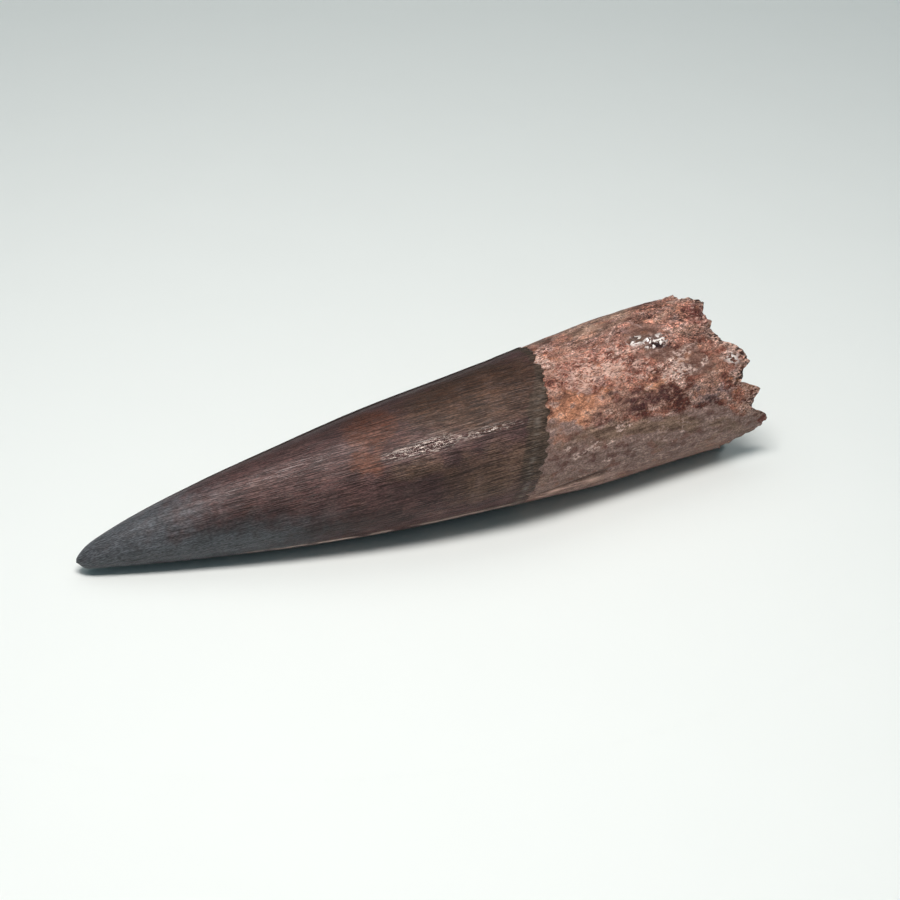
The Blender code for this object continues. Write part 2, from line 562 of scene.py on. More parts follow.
@dataclass(frozen=True)
class StainMap:
    """Where each stain lies. Those on the hidden side follow the ones in view."""

    patches: dict[Stain, tuple[Patch, ...]] = field(
        default_factory=lambda: {
            Stain.SMOKE: (
                Patch(0, 60, 22, 180, soft=0.6), Patch(20, 104, 24, 40, 0.3, 0.6),
                Patch(20, 250, 26, 60, 0.0, 0.5),
            ),
            Stain.RUST: (
                Patch(57, 12, 5.0, 24, 0.6, 0.5), Patch(54.0, 44, 3.0, 12, 0.2, 0.6),
                Patch(60, 205, 8.0, 25, 0.6, 0.6), Patch(44, 300, 5.0, 20, 0.6, 0.6),
            ),
            Stain.OLIVE: (
                Patch(78, 14, 16, 34, 0.2, 0.5), Patch(76, 250, 14, 50, 0.2, 0.5),
            ),
            Stain.TAN: (
                Patch(77, 84, 9, 22, 0.2, 0.7), Patch(62, 62, 5, 8, 0.2, 0.8),
                Patch(80, 200, 8, 24, 0.2, 0.7),
            ),
            # Painted shade: darker enamel along the crown's top and back, on its lower side and on a few
            # patches between.
            Stain.SHADOWED: (
                Patch(62, 335, 36, 36, 0.0, 0.6), Patch(48, 104, 10, 16, 0.2, 0.8),
                Patch(31, 70, 11, 18, 0.2, 0.7), Patch(67, 76, 10, 13, 0.2, 0.8),
                Patch(66, 300, 26, 30, 0.0, 0.7),
            ),
            Stain.PALE: (
                Patch(101, 28, 6.5, 18, -0.6, 0.7), Patch(104, 18, 8.0, 14, 0.0, 0.8),
                Patch(112, 36, 4.0, 10, 0.0, 0.8), Patch(104, 276, 10, 22, -0.4, 0.8),
                Patch(118, 262, 5, 14, 0.0, 0.8),
            ),
            Stain.PINK: (
                Patch(119.5, 45, 3.4, 12, 0.0, 0.7), Patch(91.5, 4, 3.0, 9, 0.0, 0.8),
                Patch(93.1, 84, 1.0, 3.0, 0.0, 0.7), Patch(95.6, 89, 1.6, 3.0, 0.0, 0.7),
                Patch(99.4, 87, 2.0, 4.0, 0.0, 0.7), Patch(102.0, 91, 0.9, 2.0, 0.0, 0.7),
                Patch(104.9, 78, 1.6, 2.0, 0.0, 0.6), Patch(107.9, 102, 0.9, 1.8, 0.0, 0.7),
                Patch(102.5, 105, 1.0, 1.6, 0.0, 0.7), Patch(116.1, 104, 0.5, 1.4, 0.0, 0.7),
                Patch(118.4, 100, 0.5, 1.2, 0.0, 0.7), Patch(126.6, 44, 0.5, 2.4, 0.0, 0.6),
                Patch(112, 250, 5.0, 12, 0.0, 0.8), Patch(104, 160, 3.0, 6, 0.0, 0.8),
            ),
            Stain.ORANGE: (
                Patch(96.2, 50, 7.4, 16, -0.6, 0.6), Patch(99.6, 49, 2.4, 10, 0.0, 0.6),
                Patch(114, 54, 2.6, 4, 0.0, 0.7), Patch(90.5, 68, 2.0, 16, 0.0, 0.7),
                Patch(96, 256, 6.0, 12, 0.0, 0.8),
            ),
            Stain.MAROON: (
                Patch(109, 63, 10, 11, 0.2, 0.45), Patch(100, 64, 4.5, 4, 0.6, 0.8),
                Patch(94, 14, 2.4, 6, 0.0, 0.9), Patch(116, 17, 5.0, 11, 0.0, 0.6),
                Patch(112, 230, 10, 10, 0.0, 0.8),
            ),
            Stain.VIOLET: (
                Patch(125.5, 72, 5.5, 13, 0.5, 0.7), Patch(104, 48, 2.0, 3, 0.0, 0.9),
                Patch(122, 240, 5, 12, 0.0, 0.8),
            ),
            Stain.DRAB: (
                Patch(114, 89, 17, 6, 0.95, 0.6), Patch(107, 330, 15, 13, 0.3, 0.6),
                Patch(104, 210, 10, 8, 0.5, 0.8),
            ),
            Stain.TOP: (
                Patch(103, 342, 16, 20, 0.8, 0.5),
            ),
            Stain.BROWN: (
                Patch(123.0, 42, 4.8, 13, 1.0, 0.4), Patch(114.8, 6, 5.0, 9, 0.6, 0.5),
                Patch(117.5, 28, 4.4, 7, 1.0, 0.45), Patch(106, 345, 5.0, 5, 0.8, 0.7),
                Patch(126, 285, 5, 14, 0.0, 0.6),
            ),
            Stain.FOLD: (
                Patch(124, 358, 9.0, 30, 0.0, 0.4), Patch(126, 215, 5, 14, 0.0, 0.6),
            ),
            # The wet film; the finishes also paint glints and sparkles on it.
            Stain.WET: (
                Patch(116.4, 17, 2.6, 6, 0.0, 0.4), Patch(112.6, 11, 1.6, 4, 0.0, 0.5),
                Patch(132.2, 48, 1.2, 4.5, 0.0, 1.0), Patch(60.5, 45.5, 3.0, 4, 0.2, 0.7),
                Patch(65.5, 46.5, 5.5, 6, 0.2, 0.6), Patch(77.0, 48, 6.0, 2.4, 0.2, 0.9),
            ),
            Stain.RED: (
                Patch(139.0, 111, 1.6, 5, 0.0, 0.6), Patch(128.5, 0, 2.6, 9, 0.0, 0.8),
            ),
        }
    )
    unwandered: tuple[Stain, ...] = (Stain.FOLD, Stain.WET)
    wander: Grain = Grain(1.3, 3.2, 3, 80.0)
    wander_turn: Grain = Grain(5.0, 3.2, 3, 90.0)
    skin_edge: Pairs = (
        (86, 55), (89, 57), (94.3, 63), (99.2, 72), (107.7, 78), (116.8, 80), (126.2, 84), (131.4, 96),
        (140, 108),
    )
    skin_edge_softness: float = 3.4
    skin_reach: float = 14.0
    skin_wander: Grain = Grain(7.0, 4.5, 3, 21.0)
    skin_back_edge: float = 236.0
    rim: BrokenRim = field(default_factory=BrokenRim)
    rim_width: float = 4.5
    band_softness: float = 0.9
    band_fades: float = 0.5
    band_fades_turn: Span = (70, 105)
    under_ends_turn: Span = (180, 220)
    edge_half_turn: float = 2.8
    edge_lower: float = 7.0
    edge_front_turn: Span = (60, 100)
    edge_starts: Span = (24, 40)
    edge_longer: float = 4.0
    # The strip of painted shade along the back cutting edge, on the crown's upper outline.
    back_edge: float = 326.0
    back_edge_half_turn: float = 7.0
    back_edge_starts: Span = (2, 10)
    crease: Crease = Crease(half_turn=1.5)
    growth_line: float = 2.3
    growth_half_width: float = 0.22
    growth_wander: Grain = Grain(0.5, 4.0, 1, 33.0)

    def skin(self, angle: np.ndarray, distance: np.ndarray) -> np.ndarray:
        """Where the smooth outer skin of the root is still there.

        Args:
            angle: Angles around the tooth.
            distance: Distances from the point.

        Returns:
            A cover from 0 to 1 for each place.
        """
        turn = angle % 360
        soft = self.skin_edge_softness
        around, reach = np.radians(angle), self.skin_reach
        spots = np.stack([distance, reach * np.cos(around), reach * np.sin(around)], axis=-1)
        edge = read_off(self.skin_edge, distance) + self.skin_wander.at(spots)
        past_back = smooth_step(-soft, soft, turn - self.skin_back_edge)
        return smooth_step(-soft, soft, turn - edge) * (1 - past_back)

    def near_rim(self, angle: np.ndarray, distance: np.ndarray) -> np.ndarray:
        """How near each place lies to the broken rim: 1 at the rim, 0 past the rim's width."""
        return 1 - smooth_step(0, self.rim_width, self.rim.plain(angle) - distance)

    def covers(
        self,
        form: ToothForm,
        margin: EnamelMargin,
        angle: np.ndarray,
        distance: np.ndarray,
        straight: np.ndarray,
    ) -> dict[Stain, np.ndarray]:
        """How far each stain covers each place.

        Args:
            form: The smooth form of the tooth.
            margin: Where its enamel ends.
            angle: Angles around the tooth.
            distance: Distances from the point.
            straight: The same places around a straight middle line.

        Returns:
            A cover from 0 to 1 for each place, by stain.
        """
        far, turned = distance + self.wander.at(straight), angle + self.wander_turn.at(straight)
        covers = {stain: covered(patches, turned, far) for stain, patches in self.patches.items()}
        covers |= {stain: covered(self.patches[stain], angle, distance) for stain in self.unwandered}
        turn = angle % 360
        past_start = distance - margin.band_starts(angle)
        fades = self.band_fades * window(turn, self.band_fades_turn, self.under_ends_turn)
        covers[Stain.BAND] = smooth_step(-self.band_softness, self.band_softness, past_start) * (1 - fades)
        covers[Stain.SKIN] = self.skin(angle, distance)
        covers[Stain.RIM] = self.near_rim(angle, distance)
        off_line = past_start - self.growth_line + self.growth_wander.at(straight)
        covers[Stain.GROWTH] = hill(off_line / self.growth_half_width)
        # Painted shade along the back cutting edge.
        off_back = turned_apart(angle, self.back_edge) / self.back_edge_half_turn
        covers[Stain.BACK_EDGE] = hill(off_back) * smooth_step(*self.back_edge_starts, distance)
        covers[Stain.CREASE] = self.crease.cover(angle, distance)
        off_edge = (form.off_edge(angle, distance) + self.edge_lower) / self.edge_half_turn
        there = window(distance, self.edge_starts, (form.edge_turns_to, form.edge_ends + self.edge_longer))
        in_front = window(turn, self.edge_front_turn, self.under_ends_turn)
        covers[Stain.EDGE] = hill(off_edge) * there * in_front
        return covers


# The relief


@dataclass(frozen=True)
class CrownRelief:
    """The fine relief of the enamel: lengthwise wrinkles, a few broad flutes and small chips."""

    wrinkle_height: float = 0.022
    wrinkle_spacing: float = 0.36
    wrinkle_length: float = 9.0
    wrinkle_sharpness: float = 4.4
    wrinkle_seed: float = 5.0
    wrinkle_middle: float = 53.0
    wrinkle_slope: float = -0.03
    least_wrinkle: float = 0.25
    smooth_until: float = 14.0
    full_from: float = 50.0
    flutes: Grain = Grain(0.07, 3.4, 1, 1.7, 0.12)
    flutes_grow: Span = (6, 30)
    step: float = 0.15
    step_length: float = 0.35
    chips: tuple[Patch, ...] = (
        Patch(41.6, 55, 0.5, 1.8, soft=0.5), Patch(49.2, 87, 0.4, 1.6, soft=0.5),
        Patch(49.3, 98, 0.7, 1.2, soft=0.5), Patch(49.2, 112, 0.5, 1.6, soft=0.5),
        Patch(63.0, 215, 0.8, 2.0, soft=0.5), Patch(36.0, 290, 0.6, 2.0, soft=0.5),
    )
    chip_depth: float = 0.12

    def wrinkles(self, straight: np.ndarray) -> np.ndarray:
        """The wrinkles, from -1 in a furrow to 1 on a crest.

        Args:
            straight: Points around a straight middle line.

        Returns:
            The wrinkle at each point.
        """
        sheet = unrolled(straight, self.wrinkle_middle, self.wrinkle_slope)
        spots = sheet * np.array([self.wrinkle_spacing / self.wrinkle_length, 1, 1])
        fine = lumps(spots, self.wrinkle_spacing, self.wrinkle_seed)
        return 1 - np.clip(self.wrinkle_sharpness * np.abs(fine), 0, 2)

    def height(
        self, angle: np.ndarray, distance: np.ndarray, straight: np.ndarray, margin: np.ndarray
    ) -> np.ndarray:
        """What the relief adds to the smooth form.

        Args:
            angle: Angles around the tooth.
            distance: Distances from the point.
            straight: The same places around a straight middle line.
            margin: Where the enamel ends at each of those angles.

        Returns:
            The height at each place.
        """
        grown = smooth_step(self.smooth_until, self.full_from, distance)
        grown = self.least_wrinkle + (1 - self.least_wrinkle) * grown
        grown = grown * smooth_step(0, self.smooth_until, distance)
        height = self.wrinkle_height * grown * self.wrinkles(straight)
        height = height + smooth_step(*self.flutes_grow, distance) * self.flutes.at(straight)
        height = height - self.chip_depth * covered(self.chips, angle, distance)
        past = smooth_step(margin - self.step_length, margin, distance)
        return height * (1 - past) - self.step * past


@dataclass(frozen=True)
class RootRelief:
    """The relief of the root: worn bare where the skin is lost, pitted, folded near the break."""

    stains: StainMap
    bare_depth: float = 0.14
    bare_lumps: Grain = Grain(0.09, 1.5, 4, 30.0, 0.4)
    pit_size: float = 0.9
    pit_along: float = 0.7
    pit_depth: float = 0.06
    pit_depth_on_skin: float = 0.15
    pit_walls: Span = (0.12, 0.46)
    pit_fields: Grain = Grain(1.0, 2.3, 1, 20.0)
    pit_fields_edge: Span = (-0.1, 0.35)
    skin_streaks: Grain = Grain(0.035, 1.4, 3, 40.0, 0.15)
    worn_depth: float = 0.80
    worn_middle: float = 22.0
    worn_back_turn: float = 32.0
    worn_front_turn: float = 36.0
    worn_from: float = 121.0
    worn_to: float = 131.0
    fold_height: float = 0.20
    fold_level: float = 0.45
    fold_along: float = 0.45
    fold_calms: float = 0.6
    folds: Grain = Grain(3.2, 1.7, 2, 60.0)
    fold_warp: Grain = Grain(0.9, 3.0, 1, 50.0)
    furrow_span: float = 0.6
    wet_lumps: Grain = Grain(0.14, 1.1, 2, 88.0)
    crumbs: Grain = Grain(0.34, 0.9, 3, 77.0)
    crease: Crease = Crease(half_turn=1.1)
    crease_depth: float = 0.26
    holes: tuple[tuple[Patch, float], ...] = (
        (Patch(115.9, 356, 0.9, 3.4, soft=0.6), 0.35), (Patch(118.6, 353, 0.8, 2.6, soft=0.6), 0.35),
        (Patch(90.9, 68, 0.35, 1.3, soft=0.5), 0.35), (Patch(95.3, 44, 0.6, 1.6, soft=0.6), 0.25),
        (Patch(107.0, 300, 0.9, 3.4, soft=0.5), 0.5), (Patch(98.0, 200, 0.6, 2.2, soft=0.5), 0.3),
        (Patch(99.5, 72.5, 2.0, 1.0, soft=0.6), 0.30), (Patch(121.2, 18.6, 2.0, 1.2, 2.0, 0.6), -0.45),
        (Patch(129.4, 12.0, 1.0, 2.6, soft=0.6), 0.5),
    )

    def pits(self, straight: np.ndarray) -> np.ndarray:
        """Round pits of many sizes, from 0 between them to 1 at their bottoms.

        Args:
            straight: Points around a straight middle line.

        Returns:
            The depth of the pits at each point.
        """
        spots = (straight * np.array([self.pit_along, 1, 1]) / self.pit_size).reshape(-1, 3).tolist()
        near = np.fromiter((noise.voronoi(spot)[0][0] for spot in spots), float, len(spots))
        near = near.reshape(straight.shape[:-1])
        some = smooth_step(*self.pit_fields_edge, self.pit_fields.at(straight))
        return (1 - smooth_step(*self.pit_walls, near)) * some

    def worn(self, angle: np.ndarray, distance: np.ndarray) -> np.ndarray:
        """How far the surface has worn down where it is bare, and next to the break on top.

        Args:
            angle: Angles around the tooth.
            distance: Distances from the point.

        Returns:
            The depth at each place.
        """
        near_break = smooth_step(self.worn_from, self.worn_to, distance)
        off_top = turned_apart(angle, self.worn_middle)
        on_top = window(off_top, (-self.worn_back_turn, 0), (0, self.worn_front_turn))
        bare = 1 - self.stains.skin(angle, distance)
        return self.bare_depth * bare + self.worn_depth * near_break * on_top

    def fine(self, angle: np.ndarray, distance: np.ndarray, straight: np.ndarray) -> np.ndarray:
        """The small lumps, folds, pits and holes.

        Args:
            angle: Angles around the tooth.
            distance: Distances from the point.
            straight: The same places around a straight middle line.

        Returns:
            The height at each place.
        """
        skin = self.stains.skin(angle, distance)
        bare = 1 - skin
        patches = self.stains.patches
        folded, wet = (covered(patches[stain], angle, distance) for stain in (Stain.FOLD, Stain.WET))
        warped = straight * np.array([self.fold_along, 1, 1]) + self.fold_warp.at(straight)[..., None]
        ridges = 1 - np.abs(self.folds.at(warped))
        pitted = bare * (1 - self.pit_depth_on_skin) + self.pit_depth_on_skin
        height = bare * (1 - self.fold_calms * folded) * self.bare_lumps.at(straight)
        height = height - self.pit_depth * pitted * self.pits(straight)
        height = height + skin * self.skin_streaks.at(straight)
        height = height + self.fold_height * folded * (ridges - self.fold_level)
        height = height + wet * self.wet_lumps.at(straight)
        height = height + self.stains.near_rim(angle, distance) * self.crumbs.at(straight)
        height = height - self.crease_depth * self.crease.cover(angle, distance)
        for hole, depth in self.holes:
            height = height - depth * hole.cover(angle, distance)
        return height


@dataclass(frozen=True)
class BreakRelief:
    """The broken end: a rough face inside the rim, with the pulp hollow in its middle."""

    rim: BrokenRim
    face_at: float = 126.6
    wall_from: float = 0.58
    spike_from: float = 0.84
    hollow_share: float = 0.42
    hollow_depth: float = 9.0
    lip_calm_from: float = 0.93
    crags: Grain = Grain(1.3, 2.4, 4, 70.0)

    def distance(self, angle: np.ndarray, share: float, rim: np.ndarray, width: float) -> np.ndarray:
        """How far from the point the broken end lies.

        Args:
            angle: Angles around the tooth.
            share: How far out the place is, from 0 in the middle to 1 at the rim.
            rim: How far the rim reaches at each of the angles.
            width: Half the width of the broken end.

        Returns:
            The distance at each angle.
        """
        out = np.full_like(angle, share)
        broad = self.rim.broad(angle)
        level = self.face_at + (broad - self.face_at) * smooth_step(self.wall_from, 1, out)
        level = level + (rim - broad) * smooth_step(self.spike_from, 1, out)
        level = level - self.hollow_depth * (1 - smooth_step(0, self.hollow_share, out))
        calm = 1 - smooth_step(self.lip_calm_from, 1, out)
        return level + calm * self.crags.at(circle(angle, share * width))


# Shader parts


class NodeSheet:
    """A node tree that is being filled, with short ways to add and join nodes."""

    columns: ClassVar[int] = 8
    column_width: ClassVar[int] = 200
    row_height: ClassVar[int] = 180

    def __init__(self, tree: bpy.types.NodeTree) -> None:
        """Starts an empty sheet.

        Args:
            tree: The node tree to fill.
        """
        self.tree = tree
        self.tree.nodes.clear()

    def add(
        self, kind: str, values: dict[str | int, object] | None = None, **settings: object
    ) -> bpy.types.Node:
        """Adds a node.

        Args:
            kind: The node's type.
            values: What its inputs get, each a plain value or another node's output.
            settings: What its own settings get.

        Returns:
            The node.
        """
        row, column = divmod(len(self.tree.nodes), self.columns)
        node = self.tree.nodes.new(kind)
        node.location = (column * self.column_width, -row * self.row_height)
        for name, setting in settings.items():
            setattr(node, name, setting)
        for key, value in (values or {}).items():
            if isinstance(value, Socket):
                self.tree.links.new(value, node.inputs[key])
            else:
                node.inputs[key].default_value = value
        return node

    def math(self, operation: str, *values: object) -> Socket:
        """The result of a Math node on the given values."""
        return self.add("ShaderNodeMath", dict(enumerate(values)), operation=operation).outputs[0]

    def times(self, first: object, *others: object) -> Socket:
        """The product of all the values."""
        return reduce(partial(self.math, "MULTIPLY"), others, first)

    def most(self, first: object, *others: object) -> Socket:
        """The largest of all the values."""
        return reduce(partial(self.math, "MAXIMUM"), others, first)

    def rest(self, share: object) -> Socket:
        """What a share leaves of the whole."""
        return self.math("SUBTRACT", 1.0, share)

    def space(self, operation: str, first: object, second: object) -> Socket:
        """The result of a Vector Math node on two places."""
        return self.add("ShaderNodeVectorMath", {0: first, 1: second}, operation=operation).outputs[0]

    def remap(self, value: object, low: object, high: object) -> Socket:
        """An even S of the value, from 0 at low to 1 at high."""
        inputs = {"Value": value, "From Min": low, "From Max": high}
        return self.add("ShaderNodeMapRange", inputs, interpolation_type="SMOOTHSTEP").outputs["Result"]

    def mix(self, share: object, under: Socket | Triple, over: Socket | Triple) -> Socket:
        """The under colour, changed into the over colour by the share."""
        ends = [(*end, 1.0) if isinstance(end, tuple) else end for end in (under, over)]
        return self.add("ShaderNodeMix", {0: share, 6: ends[0], 7: ends[1]}, data_type="RGBA").outputs[2]

    def blend(self, share: object, under: object, over: object) -> Socket:
        """The under value, changed into the over value by the share."""
        return self.add("ShaderNodeMix", {0: share, 2: under, 3: over}, data_type="FLOAT").outputs[0]

    def shade(self, colour: Socket, factor: Socket) -> Socket:
        """The colour made darker or lighter by a grey factor."""
        inputs = {0: 1.0, 6: colour, 7: factor}
        return self.add("ShaderNodeMix", inputs, data_type="RGBA", blend_type="MULTIPLY").outputs[2]

    def vary(self, colour: Socket, share: object, low: object, high: object) -> Socket:
        """The colour, times a grey factor that goes from low to high with the share."""
        return self.shade(colour, self.blend(share, low, high))

    def field(self, name: str, output: str = "Fac") -> Socket:
        """A mesh attribute."""
        return self.add("ShaderNodeAttribute", attribute_name=name).outputs[output]

    def cover(self, stain: Stain) -> Socket:
        """How far a stain covers each place."""
        return self.field(stain.value)

    def pulled(self, entry: bpy.types.NodeOutputs) -> Socket:
        """A group's position, drawn out along the tooth, and moved on by its seed where it has one.

        Args:
            entry: The group's inputs.

        Returns:
            The position to draw at.
        """
        parts = self.add("ShaderNodeSeparateXYZ", {0: entry["Position"]}).outputs
        along = self.math("DIVIDE", parts[0], entry["Drawn Out"])
        if "Seed" in entry:
            along = self.math("ADD", along, entry["Seed"])
        return self.add("ShaderNodeCombineXYZ", {0: along, 1: parts[1], 2: parts[2]}).outputs[0]


def spoken(name: str) -> str:
    """A field's name as the name of a socket."""
    return name.replace("_", " ").title()


@dataclass(frozen=True)
class Effect:
    """A shader effect. Its node group is built once, with an input for each field of the class."""

    title: ClassVar[str]
    output: ClassVar[str] = "Mask"
    joined: ClassVar[dict[str, float | Triple]] = {"Position": (0.0, 0.0, 0.0)}

    def tree(self) -> bpy.types.NodeTree:
        """The group, built the first time that a material asks for it.

        Returns:
            The shader group.
        """
        if self.title in bpy.data.node_groups:
            return bpy.data.node_groups[self.title]
        made = bpy.data.node_groups.new(self.title, "ShaderNodeTree")
        inputs = self.joined | {spoken(part.name): part.default for part in fields(self)}
        for name, value in inputs.items():
            kind = "NodeSocketVector" if isinstance(value, tuple) else "NodeSocketFloat"
            made.interface.new_socket(name, in_out="INPUT", socket_type=kind).default_value = value
        made.interface.new_socket(self.output, in_out="OUTPUT", socket_type="NodeSocketFloat")
        sheet = NodeSheet(made)
        entry = sheet.add("NodeGroupInput").outputs
        sheet.add("NodeGroupOutput", {self.output: self.draw(sheet, entry)})
        return made

    def draw(self, sheet: NodeSheet, entry: bpy.types.NodeOutputs) -> Socket:
        """Adds the group's own nodes.

        Args:
            sheet: The sheet to add them to.
            entry: The group's inputs.

        Returns:
            The socket that the group puts out.
        """
        raise NotImplementedError

    def on(self, sheet: NodeSheet, *joined: Socket) -> Socket:
        """Places the group in a material.

        Args:
            sheet: The material's sheet.
            joined: What is joined to its first inputs, in their order.

        Returns:
            The group's output.
        """
        values = dict(zip(self.joined, joined)) | {spoken(name): value for name, value in vars(self).items()}
        return sheet.add("ShaderNodeGroup", values, node_tree=self.tree()).outputs[self.output]


@dataclass(frozen=True)
class Mottle(Effect):
    """Cloudy mottling that can be drawn out along the tooth."""

    title: ClassVar[str] = "mottle"
    size: float = 2.0
    drawn_out: float = 1.0
    detail: float = 4.0
    contrast: float = 2.0
    seed: float = 0.0

    def draw(self, sheet: NodeSheet, entry: bpy.types.NodeOutputs) -> Socket:
        """Adds the group's own nodes.

        Args:
            sheet: The sheet to add them to.
            entry: The group's inputs.

        Returns:
            The mask, from 0 to 1.
        """
        scale = sheet.math("DIVIDE", 1.0, entry["Size"])
        inputs = {"Vector": sheet.pulled(entry), "Scale": scale, "Detail": entry["Detail"]}
        cloud = sheet.add("ShaderNodeTexNoise", inputs).outputs["Fac"]
        scaled = sheet.times(sheet.math("SUBTRACT", cloud, 0.5), entry["Contrast"])
        return sheet.add("ShaderNodeClamp", {0: sheet.math("ADD", scaled, 0.5)}).outputs[0]


@dataclass(frozen=True)
class RaggedMask(Effect):
    """A soft cover turned into a patch with a ragged edge by a mottling."""

    title: ClassVar[str] = "ragged_mask"
    joined: ClassVar[dict[str, float | Triple]] = {"Cover": 0.0, "Mottling": 0.5}
    raggedness: float = 1.0
    softness: float = 0.3

    def draw(self, sheet: NodeSheet, entry: bpy.types.NodeOutputs) -> Socket:
        """Adds the group's own nodes.

        Args:
            sheet: The sheet to add them to.
            entry: The group's inputs.

        Returns:
            The mask, from 0 to 1.
        """
        off = sheet.times(sheet.math("SUBTRACT", entry["Mottling"], 0.5), entry["Raggedness"])
        level = sheet.math("ADD", entry["Cover"], off)
        ends = (sheet.math(side, 0.5, entry["Softness"]) for side in ("SUBTRACT", "ADD"))
        return sheet.remap(level, *ends)


@dataclass(frozen=True)
class Specks(Effect):
    """Small specks scattered over the surface."""

    title: ClassVar[str] = "specks"
    spacing: float = 1.0
    drawn_out: float = 1.0
    share: float = 0.3
    fullness: float = 0.3

    def draw(self, sheet: NodeSheet, entry: bpy.types.NodeOutputs) -> Socket:
        """Adds the group's own nodes.

        Args:
            sheet: The sheet to add them to.
            entry: The group's inputs.

        Returns:
            The mask, from 0 to 1.
        """
        scale = sheet.math("DIVIDE", 1.0, entry["Spacing"])
        inputs = {"Vector": sheet.pulled(entry), "Scale": scale, "Randomness": 1.0}
        cells = sheet.add("ShaderNodeTexVoronoi", inputs).outputs
        chance = sheet.add("ShaderNodeSeparateColor", {0: cells["Color"]}).outputs[0]
        chosen = sheet.math("LESS_THAN", chance, entry["Share"])
        spread = sheet.remap(cells["Distance"], sheet.times(entry["Fullness"], 0.5), entry["Fullness"])
        return sheet.times(sheet.rest(spread), chosen)


@dataclass(frozen=True)
class Furrows(Effect):
    """Fine furrows that run along the tooth."""

    title: ClassVar[str] = "furrows"
    output: ClassVar[str] = "Height"
    steepness: ClassVar[float] = 6.0
    spacing: float = 0.5
    drawn_out: float = 8.0
    waviness: float = 0.2

    def draw(self, sheet: NodeSheet, entry: bpy.types.NodeOutputs) -> Socket:
        """Adds the group's own nodes.

        Args:
            sheet: The sheet to add them to.
            entry: The group's inputs.

        Returns:
            The height, from 0 in a furrow to 1 on a crest.
        """
        scale = sheet.math("DIVIDE", 1.0, entry["Spacing"])
        inputs = {"Vector": sheet.pulled(entry), "Scale": scale, "Detail": 1.0}
        inputs["Distortion"] = entry["Waviness"]
        cloud = sheet.add("ShaderNodeTexNoise", inputs).outputs["Fac"]
        off = sheet.math("ABSOLUTE", sheet.math("SUBTRACT", cloud, 0.5))
        return sheet.rest(sheet.math("MINIMUM", sheet.times(off, self.steepness), 1.0))


@dataclass(frozen=True)
class Blotches(Effect):
    """Blotches with soft borders, each of one even shade."""

    title: ClassVar[str] = "blotches"
    output: ClassVar[str] = "Shade"
    ripple: ClassVar[float] = 3.0
    ripple_scale: ClassVar[float] = 0.9
    size: float = 4.0
    drawn_out: float = 1.0
    seed: float = 0.0

    def draw(self, sheet: NodeSheet, entry: bpy.types.NodeOutputs) -> Socket:
        """Adds the group's own nodes.

        Args:
            sheet: The sheet to add them to.
            entry: The group's inputs.

        Returns:
            The shade, from 0 to 1.
        """
        spot = sheet.pulled(entry)
        inputs = {"Vector": spot, "Scale": self.ripple_scale, "Detail": 3.0}
        ripple = sheet.add("ShaderNodeTexNoise", inputs).outputs["Color"]
        off = sheet.space("MULTIPLY", sheet.space("SUBTRACT", ripple, (0.5,) * 3), (self.ripple,) * 3)
        scale = sheet.math("DIVIDE", 1.0, entry["Size"])
        inputs = {"Scale": scale, "Smoothness": 0.8, "Randomness": 1.0}
        inputs["Vector"] = sheet.space("ADD", spot, off)
        cells = sheet.add("ShaderNodeTexVoronoi", inputs, feature="SMOOTH_F1")
        return sheet.add("ShaderNodeSeparateColor", {0: cells.outputs["Color"]}).outputs[0]


# The finishes


@dataclass(frozen=True)
class Shades:
    """The colour of a stain, which varies between two ends, and the edge that the stain has."""

    dark: Triple
    light: Triple
    edge: RaggedMask = RaggedMask()

    def mixed(self, sheet: NodeSheet, tone: Socket) -> Socket:
        """The colour at a tone from 0, dark, to 1, light."""
        return sheet.mix(tone, self.dark, self.light)

    def laid(
        self,
        sheet: NodeSheet,
        colour: Socket,
        stain: Stain,
        tone: Socket,
        mottling: Socket,
        *shares: Socket,
    ) -> Socket:
        """Lays the stain over a colour.

        Args:
            sheet: The material's sheet.
            colour: The colour below.
            stain: Where the stain lies.
            tone: What its own colour varies with.
            mottling: What makes its edge ragged.
            shares: How much of it shows, where that isn't all of it.

        Returns:
            The colour with the stain on it.
        """
        mask = self.edge.on(sheet, sheet.cover(stain), mottling)
        return sheet.mix(sheet.times(mask, *shares), colour, self.mixed(sheet, tone))


@dataclass(frozen=True)
class Finish:
    """What the finishes share."""

    name: str = "finish"
    gloss: float = 0.4
    roughness: float = 0.5
    relief_mm: float = 0.02
    coat_roughness: float = 0.12

    def start(self) -> tuple[bpy.types.Material, NodeSheet]:
        """Makes the empty material.

        Returns:
            The material and the sheet to draw it on.
        """
        material = bpy.data.materials.new(self.name)
        material.use_nodes = True
        return material, NodeSheet(material.node_tree)

    def close(
        self,
        sheet: NodeSheet,
        colour: Socket,
        rough_now: float | Socket,
        height: Socket | None = None,
        coat: Socket | None = None,
    ) -> None:
        """Joins the colour, the roughness and the bump to the shader.

        Args:
            sheet: The material's sheet.
            colour: The colour all over.
            rough_now: The roughness all over.
            height: The height of the finest relief, from 0 to 1.
            coat: Where a clear wet film lies, from 0 to 1.
        """
        values = {"Base Color": colour, "Roughness": rough_now, "Specular IOR Level": self.gloss}
        if height is not None:
            relief = {"Strength": 1.0, "Distance": self.relief_mm * MM, "Height": height}
            values["Normal"] = sheet.add("ShaderNodeBump", relief).outputs[0]
        if coat is not None:
            values |= {"Coat Weight": coat, "Coat Roughness": self.coat_roughness}
        shader = sheet.add("ShaderNodeBsdfPrincipled", values)
        sheet.add("ShaderNodeOutputMaterial", {"Surface": shader.outputs[0]})


